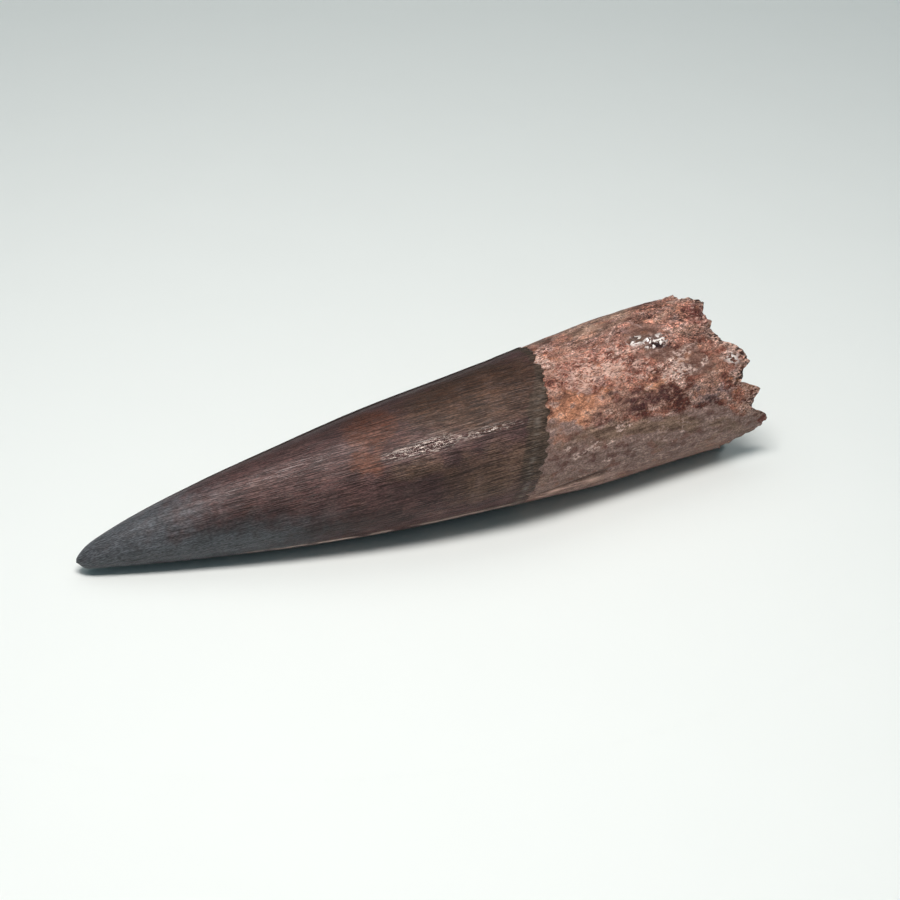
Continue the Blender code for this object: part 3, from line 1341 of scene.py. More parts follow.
@dataclass(frozen=True)
class EnamelFinish(Finish):
    """Worn dark enamel: blotched maroon and brown, smoky at the point, half gloss, with painted shade and
    painted sparkles.
    """

    name: str = "enamel"
    gloss: float = 0.18
    roughness: float = 0.46
    relief_mm: float = 0.022
    maroon: Shades = Shades((0.042, 0.022, 0.021), (0.088, 0.043, 0.039))
    olive: Shades = Shades((0.030, 0.0145, 0.0095), (0.078, 0.039, 0.0235), RaggedMask(0.5, 0.45))
    tan: Shades = Shades((0.062, 0.035, 0.025), (0.125, 0.070, 0.048), RaggedMask(0.6, 0.45))
    rust: Shades = Shades((0.056, 0.020, 0.012), (0.114, 0.042, 0.026), RaggedMask(0.6, 0.45))
    smoke: Shades = Shades((0.056, 0.058, 0.063), (0.084, 0.087, 0.095), RaggedMask(0.4, 0.6))
    band: Shades = Shades((0.026, 0.017, 0.012), (0.084, 0.055, 0.040), RaggedMask(0.4, 0.3))
    line: Triple = (0.230, 0.190, 0.160)
    edge: Triple = (0.740, 0.570, 0.490)
    scuff: Triple = (0.640, 0.500, 0.430)
    blotches: Blotches = Blotches(3.2, 0.9, 3.0)
    patches: Mottle = Mottle(1.6, 1.2, 4.0, 3.0, 15.0)
    streaks: Mottle = Mottle(0.7, 9.0, 4.0, 3.0, 9.0)
    grain: Mottle = Mottle(0.22, 3.0, 1.0, 4.0, 4.0)
    scuffs: Mottle = Mottle(0.45, 2.6, 2.0, 1.0, 33.0)
    wrinkles: Furrows = Furrows(0.24, 28.0, 0.2)
    wrinkle_flanks: Span = (0.20, 0.90)
    sparkle_edge: Span = (0.52, 0.58)
    rubbed_edge: Span = (0.30, 0.65)
    patch_share: float = 0.5
    streak_share: float = 0.45
    # How the painted shade evens the tone, darkens the colour and calms the lines.
    shadow_evens: float = 0.6
    shadow_tone: float = 0.4
    shadow_shade: float = 0.62
    shadow_calms: float = 0.7
    smoke_calms: float = 0.6
    # Grooves darker and crests lighter: partly dirt in the grooves, partly painted shade and painted light.
    furrow_shades: Span = (0.94, 1.16)
    line_shades: Span = (0.52, 1.90)
    grain_shades: Span = (0.66, 1.34)
    # Painted shade along the back edge, on the crown's upper outline.
    back_edge_shade: float = 0.35
    growth_shows: Span = (0.3, 0.9)
    rough_band: float = 0.54
    rough_edge: float = 0.90
    wet_roughness: float = 0.12
    streak_roughness: Span = (-0.07, 0.10)
    wrinkle_polish: float = 0.12

    def build(self) -> bpy.types.Material:
        """Draws the material.

        Returns:
            The enamel.
        """
        material, sheet = self.start()
        spot, rolled = sheet.field("form", "Vector"), sheet.field("unrolled", "Vector")
        shadowed, wet, back_edge = map(sheet.cover, (Stain.SHADOWED, Stain.WET, Stain.BACK_EDGE))
        looks = (self.blotches, self.patches, self.streaks)
        blotch, patchy, streak = (look.on(sheet, spot) for look in looks)
        wrinkle = sheet.remap(self.wrinkles.on(sheet, rolled), *self.wrinkle_flanks)
        tone = sheet.blend(self.streak_share, sheet.blend(self.patch_share, blotch, patchy), streak)
        # Painted shade evens the tone where it lies.
        tone = sheet.blend(sheet.times(shadowed, self.shadow_evens), tone, self.shadow_tone)
        colour = self.maroon.mixed(sheet, tone)
        stains = (
            (Stain.OLIVE, self.olive, patchy),
            (Stain.TAN, self.tan, blotch),
            (Stain.RUST, self.rust, patchy),
            (Stain.SMOKE, self.smoke, patchy),
            (Stain.BAND, self.band, streak),
        )
        for stain, shades, mottling in stains:
            colour = shades.laid(sheet, colour, stain, tone, mottling)
        # How strong the wrinkle lines are: weaker on the smooth point and in the painted shade.
        worn = sheet.rest(sheet.times(sheet.cover(Stain.SMOKE), self.smoke_calms))
        worn = sheet.times(worn, sheet.blend(shadowed, 1.0, self.shadow_calms))
        variations = (
            # Painted shade darkens the colour.
            (shadowed, 1.0, self.shadow_shade),
            # Darker grooves and lighter crests of the relief and the wrinkles: partly dirt, partly painted
            # shade and painted light.
            (sheet.field("furrow"), *self.furrow_shades),
            (worn, 1.0, sheet.blend(wrinkle, *self.line_shades)),
            (self.grain.on(sheet, rolled), *self.grain_shades),
            # Painted shade along the back edge.
            (back_edge, 1.0, self.back_edge_shade),
        )
        for share, low, high in variations:
            colour = sheet.vary(colour, share, low, high)
        # Painted sparkles: pale flecks on the wrinkle crests where the wet film lies, along the glint line.
        sparkled = sheet.remap(self.scuffs.on(sheet, rolled), *self.sparkle_edge)
        rubbed = sheet.remap(streak, *self.rubbed_edge)
        grown = sheet.blend(patchy, *self.growth_shows)
        colour = sheet.mix(sheet.times(sparkled, wet, wrinkle), colour, self.scuff)
        colour = sheet.mix(sheet.times(sheet.cover(Stain.EDGE), rubbed), colour, self.edge)
        colour = sheet.mix(sheet.times(sheet.cover(Stain.GROWTH), grown), colour, self.line)
        rough_now = sheet.blend(sheet.cover(Stain.BAND), self.roughness, self.rough_band)
        rough_now = sheet.math("ADD", rough_now, sheet.blend(streak, *self.streak_roughness))
        rough_now = sheet.math("SUBTRACT", rough_now, sheet.times(wrinkle, self.wrinkle_polish))
        rough_now = sheet.blend(back_edge, rough_now, self.rough_edge)
        rough_now = sheet.blend(wet, rough_now, self.wet_roughness)
        self.close(sheet, colour, rough_now, wrinkle)
        return material


@dataclass(frozen=True)
class RootPattern:
    """The values over the root that its finish is drawn with."""

    spot: Socket
    furrow: Socket
    broad: Socket
    small: Socket
    fine: Socket
    streak: Socket
    tone: Socket
    smooth_skin: Socket
    lofty: Socket


@dataclass(frozen=True)
class RootFinish(Finish):
    """Bare, mottled root under a smooth brown skin, with painted glints where it is wet and painted shade in
    the low places of its relief.
    """

    name: str = "root_dentine"
    gloss: float = 0.18
    roughness: float = 0.52
    relief_mm: float = 0.06
    brick: Shades = Shades((0.080, 0.023, 0.016), (0.350, 0.128, 0.085))
    violet: Shades = Shades((0.040, 0.023, 0.025), (0.195, 0.136, 0.136), RaggedMask(0.8, 0.35))
    maroon: Shades = Shades((0.054, 0.017, 0.015), (0.118, 0.045, 0.040), RaggedMask(0.30, 0.45))
    orange: Shades = Shades((0.520, 0.225, 0.128), (0.820, 0.405, 0.245), RaggedMask(0.8, 0.7))
    pale: Shades = Shades((0.100, 0.027, 0.018), (0.440, 0.172, 0.117), RaggedMask(0.9, 0.4))
    top: Shades = Shades((0.038, 0.014, 0.010), (0.345, 0.162, 0.119), RaggedMask(0.7, 0.3))
    fold: Shades = Shades((0.024, 0.007, 0.005), (0.550, 0.250, 0.176), RaggedMask(0.5, 0.3))
    rim: Shades = Shades((0.022, 0.008, 0.006), (0.500, 0.300, 0.230), RaggedMask(0.8, 0.4))
    brown: Shades = Shades((0.130, 0.058, 0.042), (0.250, 0.130, 0.096), RaggedMask(0.5, 0.2))
    skin: Shades = Shades((0.182, 0.112, 0.093), (0.305, 0.197, 0.168), RaggedMask(1.1, 0.6))
    drab: Shades = Shades((0.095, 0.054, 0.038), (0.320, 0.200, 0.142), RaggedMask(1.0, 0.4))
    red: Shades = Shades((0.120, 0.034, 0.026), (0.250, 0.075, 0.055), RaggedMask(0.6, 0.4))
    pink: Shades = Shades((0.300, 0.195, 0.158), (0.600, 0.430, 0.365), RaggedMask(0.9, 0.35))
    mauve: Triple = (0.260, 0.165, 0.152)
    ochre: Triple = (0.420, 0.170, 0.085)
    vein: Triple = (0.820, 0.520, 0.420)
    crust: Triple = (0.960, 0.860, 0.800)
    pit: Triple = (0.035, 0.015, 0.012)
    broad: Mottle = Mottle(4.0, 1.8, 3.0, 5.0, 12.0)
    small: Mottle = Mottle(1.5, 1.5, 3.0, 4.0, 19.0)
    fine: Mottle = Mottle(0.42, 1.8, 2.0, 4.0, 29.0)
    streaks: Mottle = Mottle(0.8, 6.0, 4.0, 3.5, 39.0)
    mauve_clouds: Mottle = Mottle(1.9, 1.5, 4.0, 1.0, 71.0)
    ochre_clouds: Mottle = Mottle(1.9, 1.5, 4.0, 1.0, 83.0)
    top_clouds: Mottle = Mottle(2.6, 1.8, 3.0, 1.0, 97.0)
    clumps: Mottle = Mottle(1.8, 1.5, 2.0, 5.0, 91.0)
    grit: Mottle = Mottle(0.24, 1.5, 1.0, 4.0, 23.0)
    flakes: Mottle = Mottle(0.55, 1.6, 2.0, 1.0, 61.0)
    glint_clouds: Mottle = Mottle(0.80, 1.3, 2.0, 1.0, 53.0)
    strips: Furrows = Furrows(2.4, 1.4, 3.2)
    strokes: Furrows = Furrows(1.05, 1.7, 2.6)
    veins: Furrows = Furrows(1.9, 1.8, 2.4)
    cracks: Furrows = Furrows(3.2, 2.6, 2.2)
    broad_share: float = 0.62
    small_share: float = 0.25
    fine_share: float = 0.5
    strip_share: float = 0.6
    crumb_share: float = 0.4
    tone_span: Span = (0.10, 0.90)
    strip_flanks: Span = (0.35, 0.95)
    crumb_span: Span = (0.40, 0.72)
    pink_span: Span = (0.28, 0.60)
    hue_edge: Span = (0.56, 0.70)
    hue_strength: float = 0.4
    top_cloud_edge: Span = (0.40, 0.60)
    top_shades: Span = (0.66, 1.30)
    clumps_show: Span = (0.10, 1.0)
    calm_shows: Span = (1.0, 0.6)
    grey_middle: float = 0.48
    grey_depth: float = 0.5
    grit_depths: Span = (1.04, 0.56)
    stroke_flanks: Span = (0.60, 0.95)
    stroke_shades: Span = (0.88, 1.95)
    strokes_on_skin: float = 0.25
    strokes_on_maroon: float = 0.4
    strokes_on_top: float = 1.35
    vein_flanks: Span = (0.45, 0.85)
    veins_show: Span = (0.10, 0.65)
    flake_edge: Span = (0.58, 0.64)
    flakes_anywhere: float = 0.06
    dark_flake_edge: Span = (0.31, 0.25)
    dark_flakes_show: float = 0.4
    crack_flanks: Span = (0.70, 0.95)
    cracks_show: Span = (0.40, 0.10)
    crease_shows: float = 0.95
    # The painted shade in the relief's low places.
    deep_span: Span = (0.10, 0.0)
    deep_shows: float = 0.5
    glint_edge: Span = (0.50, 0.55)
    wet_shade: float = 0.55
    wet_roughness: float = 0.15
    cloud_roughness: float = 0.15

    def pattern(self, sheet: NodeSheet) -> RootPattern:
        """Adds the values that the finish is drawn with.

        Args:
            sheet: The material's sheet.

        Returns:
            The values.
        """
        spot = sheet.field("form", "Vector")
        clouds = (self.broad, self.small, self.fine, self.streaks)
        broad, small, fine, streak = (cloud.on(sheet, spot) for cloud in clouds)
        tone = sheet.remap(sheet.blend(self.broad_share, small, broad), *self.tone_span)
        smooth_skin = sheet.most(sheet.cover(Stain.SKIN), sheet.cover(Stain.BROWN))
        lofty = sheet.most(sheet.cover(Stain.TOP), sheet.cover(Stain.FOLD))
        return RootPattern(spot, sheet.field("furrow"), broad, small, fine, streak, tone, smooth_skin, lofty)

    def stained(self, sheet: NodeSheet, given: RootPattern) -> Socket:
        """The ground colour with all its stains.

        Args:
            sheet: The material's sheet.
            given: The values to draw with.

        Returns:
            The colour.
        """
        small, fine, tone = given.small, given.fine, given.tone
        calm = sheet.blend(self.small_share, given.streak, small)
        strips = sheet.remap(self.strips.on(sheet, given.spot), *self.strip_flanks)
        folded = sheet.blend(self.strip_share, sheet.blend(self.fine_share, given.furrow, fine), strips)
        crumbly = sheet.remap(sheet.blend(self.crumb_share, given.furrow, fine), *self.crumb_span)
        colour = self.brick.mixed(sheet, tone)
        stains = (
            (Stain.VIOLET, self.violet, tone, small),
            (Stain.MAROON, self.maroon, tone, small),
            (Stain.ORANGE, self.orange, tone, small),
            (Stain.PALE, self.pale, tone, given.broad),
            (Stain.TOP, self.top, given.streak, given.streak),
            (Stain.FOLD, self.fold, folded, small),
            (Stain.RIM, self.rim, crumbly, small),
            (Stain.BROWN, self.brown, calm, small),
            (Stain.SKIN, self.skin, calm, small),
            (Stain.DRAB, self.drab, calm, given.broad),
            (Stain.RED, self.red, tone, small),
            (Stain.PINK, self.pink, fine, small, sheet.remap(fine, *self.pink_span)),
        )
        for stain, shades, *values in stains:
            colour = shades.laid(sheet, colour, stain, *values)
        return colour

    def clouded(self, sheet: NodeSheet, given: RootPattern, colour: Socket) -> Socket:
        """A colour with the clouds, the grain and the strokes that break it up.

        Args:
            sheet: The material's sheet.
            given: The values to draw with.
            colour: The colour below.

        Returns:
            The colour.
        """
        spot, maroon = given.spot, sheet.cover(Stain.MAROON)
        plain = sheet.rest(sheet.most(sheet.cover(Stain.SKIN), maroon))
        for hue, cloud in ((self.mauve, self.mauve_clouds), (self.ochre, self.ochre_clouds)):
            share = sheet.remap(cloud.on(sheet, spot), *self.hue_edge)
            colour = sheet.mix(sheet.times(share, plain, self.hue_strength), colour, hue)
        uneven = sheet.remap(self.top_clouds.on(sheet, spot), *self.top_cloud_edge)
        colour = sheet.vary(colour, given.lofty, 1.0, sheet.blend(uneven, *self.top_shades))
        calmer = sheet.most(given.smooth_skin, sheet.cover(Stain.ORANGE))
        clumps = sheet.blend(self.clumps.on(sheet, spot), *self.clumps_show)
        strength = sheet.times(sheet.blend(calmer, *self.calm_shows), clumps)
        grey = sheet.times(sheet.math("SUBTRACT", given.fine, self.grey_middle), strength, self.grey_depth)
        colour = sheet.shade(colour, sheet.math("ADD", grey, 1.0))
        grit = sheet.math("SUBTRACT", self.grit.on(sheet, spot), 0.5)
        grit = sheet.times(grit, sheet.blend(calmer, *self.grit_depths))
        colour = sheet.shade(colour, sheet.math("ADD", grit, 1.0))
        strokes = sheet.remap(self.strokes.on(sheet, spot), *self.stroke_flanks)
        drawn = sheet.times(
            strength,
            sheet.blend(given.smooth_skin, 1.0, self.strokes_on_skin),
            sheet.blend(maroon, 1.0, self.strokes_on_maroon),
            sheet.blend(given.lofty, 1.0, self.strokes_on_top),
        )
        return sheet.vary(colour, drawn, 1.0, sheet.blend(strokes, *self.stroke_shades))

    def marked(self, sheet: NodeSheet, given: RootPattern, colour: Socket) -> Socket:
        """A colour with the veins, flakes, cracks and pits over it, painted shade in the relief's low places,
        and painted glints where it is wet.

        Args:
            sheet: The material's sheet.
            given: The values to draw with.
            colour: The colour below.

        Returns:
            The colour.
        """
        wet, spot = sheet.cover(Stain.WET), given.spot
        veins = sheet.remap(self.veins.on(sheet, spot), *self.vein_flanks)
        lacy = sheet.most(*map(sheet.cover, (Stain.PALE, Stain.PINK, Stain.RIM)))
        where = sheet.times(sheet.blend(lacy, *self.veins_show), sheet.rest(given.smooth_skin))
        flakes = self.flakes.on(sheet, spot)
        bright = sheet.times(sheet.remap(flakes, *self.flake_edge), sheet.rest(sheet.cover(Stain.ORANGE)))
        cracks = sheet.remap(self.cracks.on(sheet, spot), *self.crack_flanks)
        marks = (
            (sheet.times(veins, where, given.tone), self.vein),
            (sheet.times(sheet.cover(Stain.EDGE), given.streak), self.vein),
            (sheet.times(sheet.cover(Stain.CREASE), self.crease_shows), self.pit),
            (sheet.times(bright, sheet.math("ADD", where, self.flakes_anywhere)), self.vein),
            (sheet.times(sheet.remap(flakes, *self.dark_flake_edge), self.dark_flakes_show), self.pit),
            (sheet.times(cracks, sheet.blend(given.smooth_skin, *self.cracks_show)), self.pit),
            # Painted shade in the low places of the relief.
            (sheet.times(sheet.remap(given.furrow, *self.deep_span), self.deep_shows), self.pit),
        )
        for share, hue in marks:
            colour = sheet.mix(share, colour, hue)
        colour = sheet.vary(colour, wet, 1.0, self.wet_shade)
        # Painted glints: near-white flecks over the wet film.
        crust = sheet.remap(self.glint_clouds.on(sheet, spot), *self.glint_edge)
        return sheet.mix(sheet.times(crust, wet), colour, self.crust)

    def build(self) -> bpy.types.Material:
        """Draws the material.

        Returns:
            The root.
        """
        material, sheet = self.start()
        given, wet = self.pattern(sheet), sheet.cover(Stain.WET)
        colour = self.marked(sheet, given, self.clouded(sheet, given, self.stained(sheet, given)))
        rough_now = sheet.math("ADD", self.roughness, sheet.times(given.small, self.cloud_roughness))
        rough_now = sheet.blend(wet, rough_now, self.wet_roughness)
        self.close(sheet, colour, rough_now, sheet.blend(0.5, given.fine, given.small), wet)
        return material


@dataclass(frozen=True)
class BreakFinish(Finish):
    """The raw broken end: dark and crumbly."""

    name: str = "broken_end"
    roughness: float = 0.75
    relief_mm: float = 0.22
    raw: Shades = Shades((0.050, 0.021, 0.016), (0.300, 0.150, 0.110))
    rusty: Shades = Shades((0.120, 0.042, 0.027), (0.480, 0.205, 0.130))
    dust: Triple = (0.560, 0.390, 0.300)
    broad: Mottle = Mottle(3.0, 1.0, 5.0, 3.0, 52.0)
    fine: Mottle = Mottle(0.5, 1.0, 4.0, 3.5, 59.0)
    rust_clouds: Mottle = Mottle(2.2, 1.0, 5.0, 1.0, 57.0)
    rust_edge: Span = (0.50, 0.62)
    layer_scale: float = 0.34
    layer_waviness: float = 3.0
    layer_shades: Span = (0.72, 1.24)
    flecks: Specks = Specks(0.7, 1.0, 0.5, 0.35)
    flecks_show: float = 0.6
    fine_roughness: float = 0.12

    def build(self) -> bpy.types.Material:
        """Draws the material.

        Returns:
            The broken end.
        """
        material, sheet = self.start()
        spot = sheet.field("form", "Vector")
        broad, fine, cloud = (look.on(sheet, spot) for look in (self.broad, self.fine, self.rust_clouds))
        colour = self.raw.mixed(sheet, sheet.blend(0.5, broad, fine))
        colour = sheet.mix(sheet.remap(cloud, *self.rust_edge), colour, self.rusty.mixed(sheet, fine))
        waves = {"Vector": spot, "Scale": self.layer_scale, "Distortion": self.layer_waviness}
        waves |= {"Detail": 3.0, "Detail Scale": 1.5}
        layers = sheet.add("ShaderNodeTexWave", waves, wave_type="RINGS", rings_direction="X").outputs["Fac"]
        colour = sheet.vary(colour, layers, *self.layer_shades)
        colour = sheet.mix(sheet.times(self.flecks.on(sheet, spot), self.flecks_show), colour, self.dust)
        rough_now = sheet.math("ADD", self.roughness, sheet.times(fine, self.fine_roughness))
        self.close(sheet, colour, rough_now, sheet.blend(0.5, fine, cloud))
        return material


@dataclass(frozen=True)
class FloorFinish(Finish):
    """A plain pale matt floor with the faintest grain."""

    name: str = "pale_floor"
    gloss: float = 0.2
    roughness: float = 0.85
    light: Triple = (0.848, 0.866, 0.836)
    dark: Triple = (0.833, 0.851, 0.821)
    grain_m: Mottle = Mottle(0.02, detail=3.0, contrast=1.0)

    def build(self) -> bpy.types.Material:
        """Draws the material.

        Returns:
            The floor's material.
        """
        material, sheet = self.start()
        spot = sheet.add("ShaderNodeTexCoord").outputs["Object"]
        self.close(sheet, sheet.mix(self.grain_m.on(sheet, spot), self.dark, self.light), self.roughness)
        return material


# The tooth


class Part(Enum):
    """The three surfaces of the tooth, by the place of their finish in the mesh."""

    CROWN = 0
    ROOT = 1
    BREAK = 2


@dataclass
class Ring:
    """One ring of points around the tooth."""

    part: Part
    angle: np.ndarray
    distance: np.ndarray
    straight: np.ndarray
    furrow: np.ndarray

    @property
    def count(self) -> int:
        """How many points the ring has."""
        return len(self.angle)


@dataclass
class Tooth:
    """The whole tooth: the crown and the root, grown in one, and the broken end."""

    form: ToothForm = field(default_factory=ToothForm)
    margin: EnamelMargin = field(default_factory=EnamelMargin)
    rim: BrokenRim = field(default_factory=BrokenRim)
    stains: StainMap = field(default_factory=StainMap)
    crown_columns: int = 640
    root_columns: int = 320
    point_counts: tuple[tuple[float, int], ...] = ((1.2, 80), (4.0, 160), (13.0, 320))
    crown_row: float = 1.0
    root_row: float = 0.42
    first_row: float = 0.12
    row_growth: float = 0.16
    last_gap: float = 0.4
    root_gap: float = 0.05
    least_reach: float = 0.02
    margin_felt_from: float = 62.0
    margin_felt_past: float = 14.0
    rim_felt_from: float = 112.0
    hollow_lower: float = 0.3
    middle_furrow: float = 0.5
    shift_columns: int = 720
    shift_rows: Triple = (1.0, 128.0, 0.5)
    lip_shares: tuple[float, ...] = (0.985, 0.965, 0.94, 0.91, 0.88, 0.85, 0.81, 0.77, 0.73, 0.69)
    inner_shares: tuple[float, ...] = (0.64, 0.59, 0.54, 0.49, 0.44, 0.39, 0.33, 0.27, 0.21, 0.15, 0.08)

    def crown_distances(self) -> list[float]:
        """Where the crown's rings lie before they follow the margin.

        Returns:
            The distances from the point, the last of them at the margin.
        """
        distances = [self.first_row]
        while distances[-1] < self.margin.middle - self.crown_row:
            step = min(self.crown_row, self.first_row + self.row_growth * distances[-1])
            distances.append(distances[-1] + step)
        distances[-1] = self.margin.middle - self.last_gap
        return [*distances, self.margin.middle]

    def column_count(self, distance: float) -> int:
        """How many points a ring of the crown has.

        Args:
            distance: Where the ring lies.

        Returns:
            The number of points.
        """
        for until, count in self.point_counts:
            if distance < until:
                return count
        return self.crown_columns

    def angles(self, count: int) -> np.ndarray:
        """The angles of a ring's points."""
        return np.arange(count) * 360 / count

    def ring(
        self, part: Part, angle: np.ndarray, distance: np.ndarray, relief: np.ndarray, furrow: np.ndarray
    ) -> Ring:
        """A ring on the outside of the tooth.

        Args:
            part: Which surface it belongs to.
            angle: The angles of its points.
            distance: Their distances from the point.
            relief: What the relief adds to the smooth form.
            furrow: How high each point stands in the fine relief, from 0 to 1.

        Returns:
            The ring.
        """
        reach = np.maximum(self.form.reach(angle, distance) + relief, self.least_reach)
        return Ring(part, angle, distance, self.form.straight(angle, distance, reach), furrow)

    def crown_rings(self) -> list[Ring]:
        """The rings of the crown, from the point to the margin.

        Returns:
            The rings.
        """
        relief = CrownRelief()
        rings = []
        for base in self.crown_distances():
            angle = self.angles(self.column_count(base))
            felt = smooth_step(self.margin_felt_from, self.margin.middle, np.array(base))
            margin = self.margin.at(angle)
            distance = base + (margin - self.margin.middle) * felt
            straight = self.form.straight(angle, distance, self.form.reach(angle, distance))
            height = relief.height(angle, distance, straight, margin)
            furrow = self.middle_furrow * (1 + relief.wrinkles(straight))
            rings.append(self.ring(Part.CROWN, angle, distance, height, furrow))
        return rings

    def root_rings(self) -> list[Ring]:
        """The rings of the root, from the margin to the rim.

        Returns:
            The rings.
        """
        relief = RootRelief(self.stains)
        angle = self.angles(self.root_columns)
        margin, rim = self.margin.at(angle), self.rim.at(angle)
        start, end = self.margin.middle, float(rim.mean())
        rows = int((end - start) / self.root_row)
        rings = []
        for row in range(rows + 1):
            base = start + self.root_gap + (end - start - self.root_gap) * row / rows
            near = 1 - smooth_step(start, start + self.margin_felt_past, np.array(base))
            far = smooth_step(self.rim_felt_from, end, np.array(base))
            distance = base + (margin - start) * near + (rim - end) * far
            straight = self.form.straight(angle, distance, self.form.reach(angle, distance))
            fine = relief.fine(angle, distance, straight)
            height = fine - relief.worn(angle, distance) - CrownRelief().step
            furrow = np.clip(self.middle_furrow + fine / relief.furrow_span, 0, 1)
            rings.append(self.ring(Part.ROOT, angle, distance, height, furrow))
        return rings

    def break_rings(self, outer: Ring) -> list[Ring]:
        """The rings of the broken end, from the rim inwards.

        Args:
            outer: The last ring of the root.

        Returns:
            The rings.
        """
        relief = BreakRelief(self.rim)
        width = float(self.form.half_width(np.array(relief.face_at)))
        rings = []
        for shares, step in ((self.lip_shares, 1), (self.inner_shares, 2)):
            for share in shares:
                angle = outer.angle[::step]
                distance = relief.distance(angle, share, outer.distance[::step], width)
                reach = np.hypot(*outer.straight[::step, 1:].T) * share
                straight = self.form.straight(angle, distance, reach)
                furrow = np.full(len(angle), self.middle_furrow)
                rings.append(Ring(Part.BREAK, angle, distance, straight, furrow))
        return rings

    def faces(self, rings: Sequence[Ring]) -> tuple[list[tuple[int, ...]], list[int]]:
        """The faces between the rings, with a fan at each end.

        Args:
            rings: All rings of the tooth. Each has as many points as the one before, twice or half.

        Returns:
            The corners of each face, and the part that each face belongs to.
        """
        starts = np.cumsum([1] + [ring.count for ring in rings])
        faces: list[tuple[int, ...]] = []
        parts: list[int] = []
        first = rings[0].count
        faces += [(0, 1 + i, 1 + (i + 1) % first) for i in range(first)]
        parts += [Part.CROWN.value] * first
        for k, (near, far) in enumerate(zip(rings, rings[1:])):
            band = self.band(starts[k], near.count, starts[k + 1], far.count)
            faces += band
            parts += [far.part.value] * len(band)
        last, middle = rings[-1].count, int(starts[-1])
        begin = int(starts[-2])
        faces += [(begin + (i + 1) % last, begin + i, middle) for i in range(last)]
        parts += [Part.BREAK.value] * last
        return faces, parts

    def band(self, near: int, near_count: int, far: int, far_count: int) -> list[tuple[int, ...]]:
        """The faces between two rings.

        Args:
            near: The first point of the ring nearer to the point of the tooth.
            near_count: How many points that ring has.
            far: The first point of the other ring.
            far_count: How many points that one has.

        Returns:
            The corners of each face.
        """
        count = min(near_count, far_count)
        quads: list[tuple[int, ...]] = []
        for i in range(count):
            j = (i + 1) % count
            if near_count == far_count:
                quads.append((near + i, far + i, far + j, near + j))
            elif far_count > near_count:
                a, b, c = far + 2 * i, far + 2 * i + 1, far + 2 * j
                quads += [(near + i, a, b), (near + i, b, near + j), (near + j, b, c)]
            else:
                a, b, c = near + 2 * i, near + 2 * i + 1, near + 2 * j
                quads += [(a, far + i, b), (b, far + i, far + j), (c, b, far + j)]
        return [tuple(int(corner) for corner in quad) for quad in quads]

    def shift(self) -> np.ndarray:
        """What brings the form to the place that the solid has in the frame.

        Returns:
            The shift in millimetres.
        """
        low, high = (np.array(corner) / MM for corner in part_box(NODE))
        angle = self.angles(self.shift_columns)
        sides = []
        for distance in np.arange(*self.shift_rows):
            ring = np.full_like(angle, distance)
            straight = self.form.straight(angle, ring, self.form.reach(angle, ring))
            sides.append(self.form.placed(straight)[:, 1])
        middle = (np.min(sides) + np.max(sides)) / 2
        return np.array([low[0], (low[1] + high[1]) / 2 - middle, 0.0])

    def build(self) -> bpy.types.Object:
        """Builds the tooth and dresses it.

        Returns:
            The finished piece.
        """
        rings = [*self.crown_rings(), *self.root_rings()]
        rings += self.break_rings(rings[-1])
        point = np.zeros((1, 3))
        hollow = np.array([[rings[-1].distance.mean() - self.hollow_lower, 0.0, 0.0]])
        straight = np.concatenate([point, *(ring.straight for ring in rings), hollow])
        low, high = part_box(NODE)
        places = np.clip((self.form.placed(straight) + self.shift()) * MM, low, high)
        faces, parts = self.faces(rings)
        mesh = bpy.data.meshes.new("fossil_tooth")
        mesh.from_pydata(places.tolist(), [], faces)
        mesh.polygons.foreach_set("material_index", parts)
        mesh.shade_smooth()
        self.note(mesh, "form", straight)
        self.note(mesh, "unrolled", unrolled(straight, CrownRelief.wrinkle_middle, CrownRelief.wrinkle_slope))
        ends = [self.middle_furrow]
        self.note(mesh, "furrow", np.concatenate([ends, *(ring.furrow for ring in rings), ends]))
        all_rings = zip(*((ring.angle, ring.distance, ring.straight) for ring in rings))
        covers = self.stains.covers(self.form, self.margin, *map(np.concatenate, all_rings))
        for stain, cover in covers.items():
            self.note(mesh, stain.value, np.concatenate([cover[:1], cover, cover[-1:]]))
        for finish in (EnamelFinish(), RootFinish(), BreakFinish()):
            mesh.materials.append(finish.build())
        tooth = bpy.data.objects.new("fossil_tooth", mesh)
        bpy.context.scene.collection.objects.link(tooth)
        return tooth

    def note(self, mesh: bpy.types.Mesh, name: str, values: np.ndarray) -> None:
        """Writes a value or a place for each point into the mesh, for the finishes.

        Args:
            mesh: The mesh.
            name: The attribute's name.
            values: One row for each point.
        """
        if values.ndim == 1:
            mesh.attributes.new(name, "FLOAT", "POINT").data.foreach_set("value", values)
        else:
            mesh.attributes.new(name, "FLOAT_VECTOR", "POINT").data.foreach_set("vector", values.ravel())


# The studio


class Use(Enum):
    """What a light is there for."""

    ALL = "all"
    SHADE = "shade"
    GLOSS = "gloss"


@dataclass(frozen=True)
class SoftLight:
    """A soft rectangular light."""

    name: str
    place: Triple
    aim: Triple
    width: float
    length: float
    power: float
    colour: Triple = (1.0, 1.0, 1.0)
    long_way: Triple = (0.0, 1.0, 0.0)
    kind: Use = Use.ALL

    def build(self) -> bpy.types.Object:
        """Hangs the light.

        Returns:
            The light.
        """
        data = bpy.data.lights.new(self.name, "AREA")
        data.shape = "RECTANGLE"
        data.size, data.size_y = self.width, self.length
        data.energy = self.power
        data.color = self.colour
        lamp = bpy.data.objects.new(self.name, data)
        lamp.location = self.place
        lamp.visible_glossy = self.kind is not Use.SHADE
        lamp.visible_diffuse = self.kind is not Use.GLOSS
        back = (Vector(self.place) - Vector(self.aim)).normalized()
        up = (Vector(self.long_way) - back * Vector(self.long_way).dot(back)).normalized()
        lamp.rotation_mode = "QUATERNION"
        lamp.rotation_quaternion = Matrix((up.cross(back), up, back)).transposed().to_quaternion()
        bpy.context.scene.collection.objects.link(lamp)
        return lamp


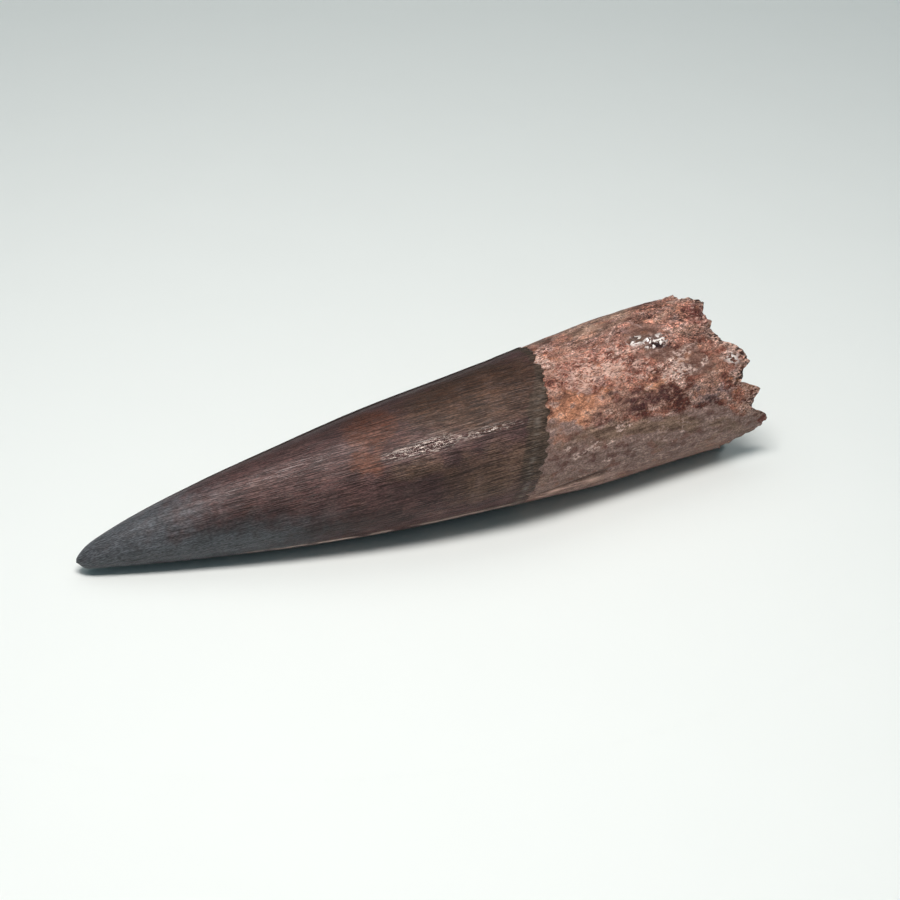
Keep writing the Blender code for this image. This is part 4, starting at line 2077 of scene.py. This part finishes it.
@dataclass(frozen=True)
class Studio:
    """The floor, the lights and the camera."""

    floor_half: float = 3.0
    floor_drop: float = 0.00002
    air_colour: Triple = (0.57, 0.885, 1.0)
    air_strength: float = 0.17
    azimuth: float = -21.44
    elevation: float = 35.0
    camera_distance: float = 0.36
    field_of_view: float = 27.73
    target: Triple = (0.00519, 0.00151, 0.010)
    sensor: float = 36.0
    in_sight: Span = (0.01, 20.0)
    lights: tuple[SoftLight, ...] = (
        SoftLight(
            "key", (-0.05, -0.08, 0.42), (-0.05, -0.08, 0.0), 0.11, 0.24, 1.72,
            (1.0, 0.965, 0.950), (0.93, -0.37, 0.0), Use.SHADE,
        ),
        SoftLight(
            "overhead", (0.08, 0.60, 0.90), (0.08, 1.00, 0.0), 1.4, 1.0, 3.8,
            (1.0, 0.975, 0.960), kind=Use.SHADE,
        ),
        SoftLight(
            "sheen", (-0.157, 0.022, 0.42), (-0.035, -0.006, 0.02), 0.07, 0.15, 1.80,
            (1.0, 0.94, 0.90), (0.068, -0.109, 0.0), Use.GLOSS,
        ),
        SoftLight(
            "glint", (-0.025, -0.270, 0.42), (-0.008, -0.013, 0.025), 0.022, 0.16, 1.75,
            (1.0, 0.86, 0.77), (0.10, -0.05, 0.0), Use.GLOSS,
        ),
        SoftLight("spark", (0.234, -0.055, 0.72), (0.045, -0.006, 0.03), 0.08, 0.08, 1.2, kind=Use.GLOSS),
        SoftLight(
            "rim_glint", (0.27, -0.46, 0.42), (0.060, -0.010, 0.025), 0.05, 0.05, 0.5,
            (1.0, 0.88, 0.80), kind=Use.GLOSS,
        ),
    )

    def build_floor(self) -> bpy.types.Object:
        """Lays the floor.

        Returns:
            The floor.
        """
        half, low = self.floor_half, -self.floor_drop
        corners = [(-half, -half, low), (half, -half, low), (half, half, low), (-half, half, low)]
        mesh = bpy.data.meshes.new("floor")
        mesh.from_pydata(corners, [], [(0, 1, 2, 3)])
        mesh.materials.append(FloorFinish().build())
        floor = bpy.data.objects.new("floor", mesh)
        bpy.context.scene.collection.objects.link(floor)
        return floor

    def build_air(self) -> None:
        """Fills the room with even light from all sides."""
        world = bpy.data.worlds.new("air")
        bpy.context.scene.world = world
        world.use_nodes = True
        background = world.node_tree.nodes["Background"]
        background.inputs["Color"].default_value = (*self.air_colour, 1.0)
        background.inputs["Strength"].default_value = self.air_strength

    def build_camera(self) -> bpy.types.Object:
        """Sets up the camera.

        Returns:
            The camera.
        """
        data = bpy.data.cameras.new("camera")
        data.sensor_width = self.sensor
        data.lens = self.sensor / 2 / math.tan(math.radians(self.field_of_view / 2))
        camera = bpy.data.objects.new("camera", data)
        turn, rise = math.radians(self.azimuth), math.radians(self.elevation)
        level = math.cos(rise)
        back = Vector((math.sin(turn) * level, -math.cos(turn) * level, math.sin(rise)))
        camera.location = Vector(self.target) + back * self.camera_distance
        camera.rotation_mode = "QUATERNION"
        camera.rotation_quaternion = back.to_track_quat("Z", "Y")
        data.clip_start, data.clip_end = self.in_sight
        bpy.context.scene.collection.objects.link(camera)
        bpy.context.scene.camera = camera
        return camera

    def build(self) -> None:
        """Builds the studio."""
        bpy.context.scene.view_settings.view_transform = "Standard"
        self.build_floor()
        self.build_air()
        for light in self.lights:
            light.build()
        self.build_camera()


def main() -> None:
    """Builds the tooth and the studio."""
    logging.basicConfig(level=logging.INFO, format="%(name)s: %(message)s")
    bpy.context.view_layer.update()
    tooth = Tooth().build()
    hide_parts(NODE)
    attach(tooth, BODY)
    triangles = sum(len(face.vertices) - 2 for face in tooth.data.polygons)
    log.info("%s: %d triangles", tooth.name, triangles)
    Studio().build()
    log.info("studio: floor, lights and camera")


if __name__ == "__main__":
    main()
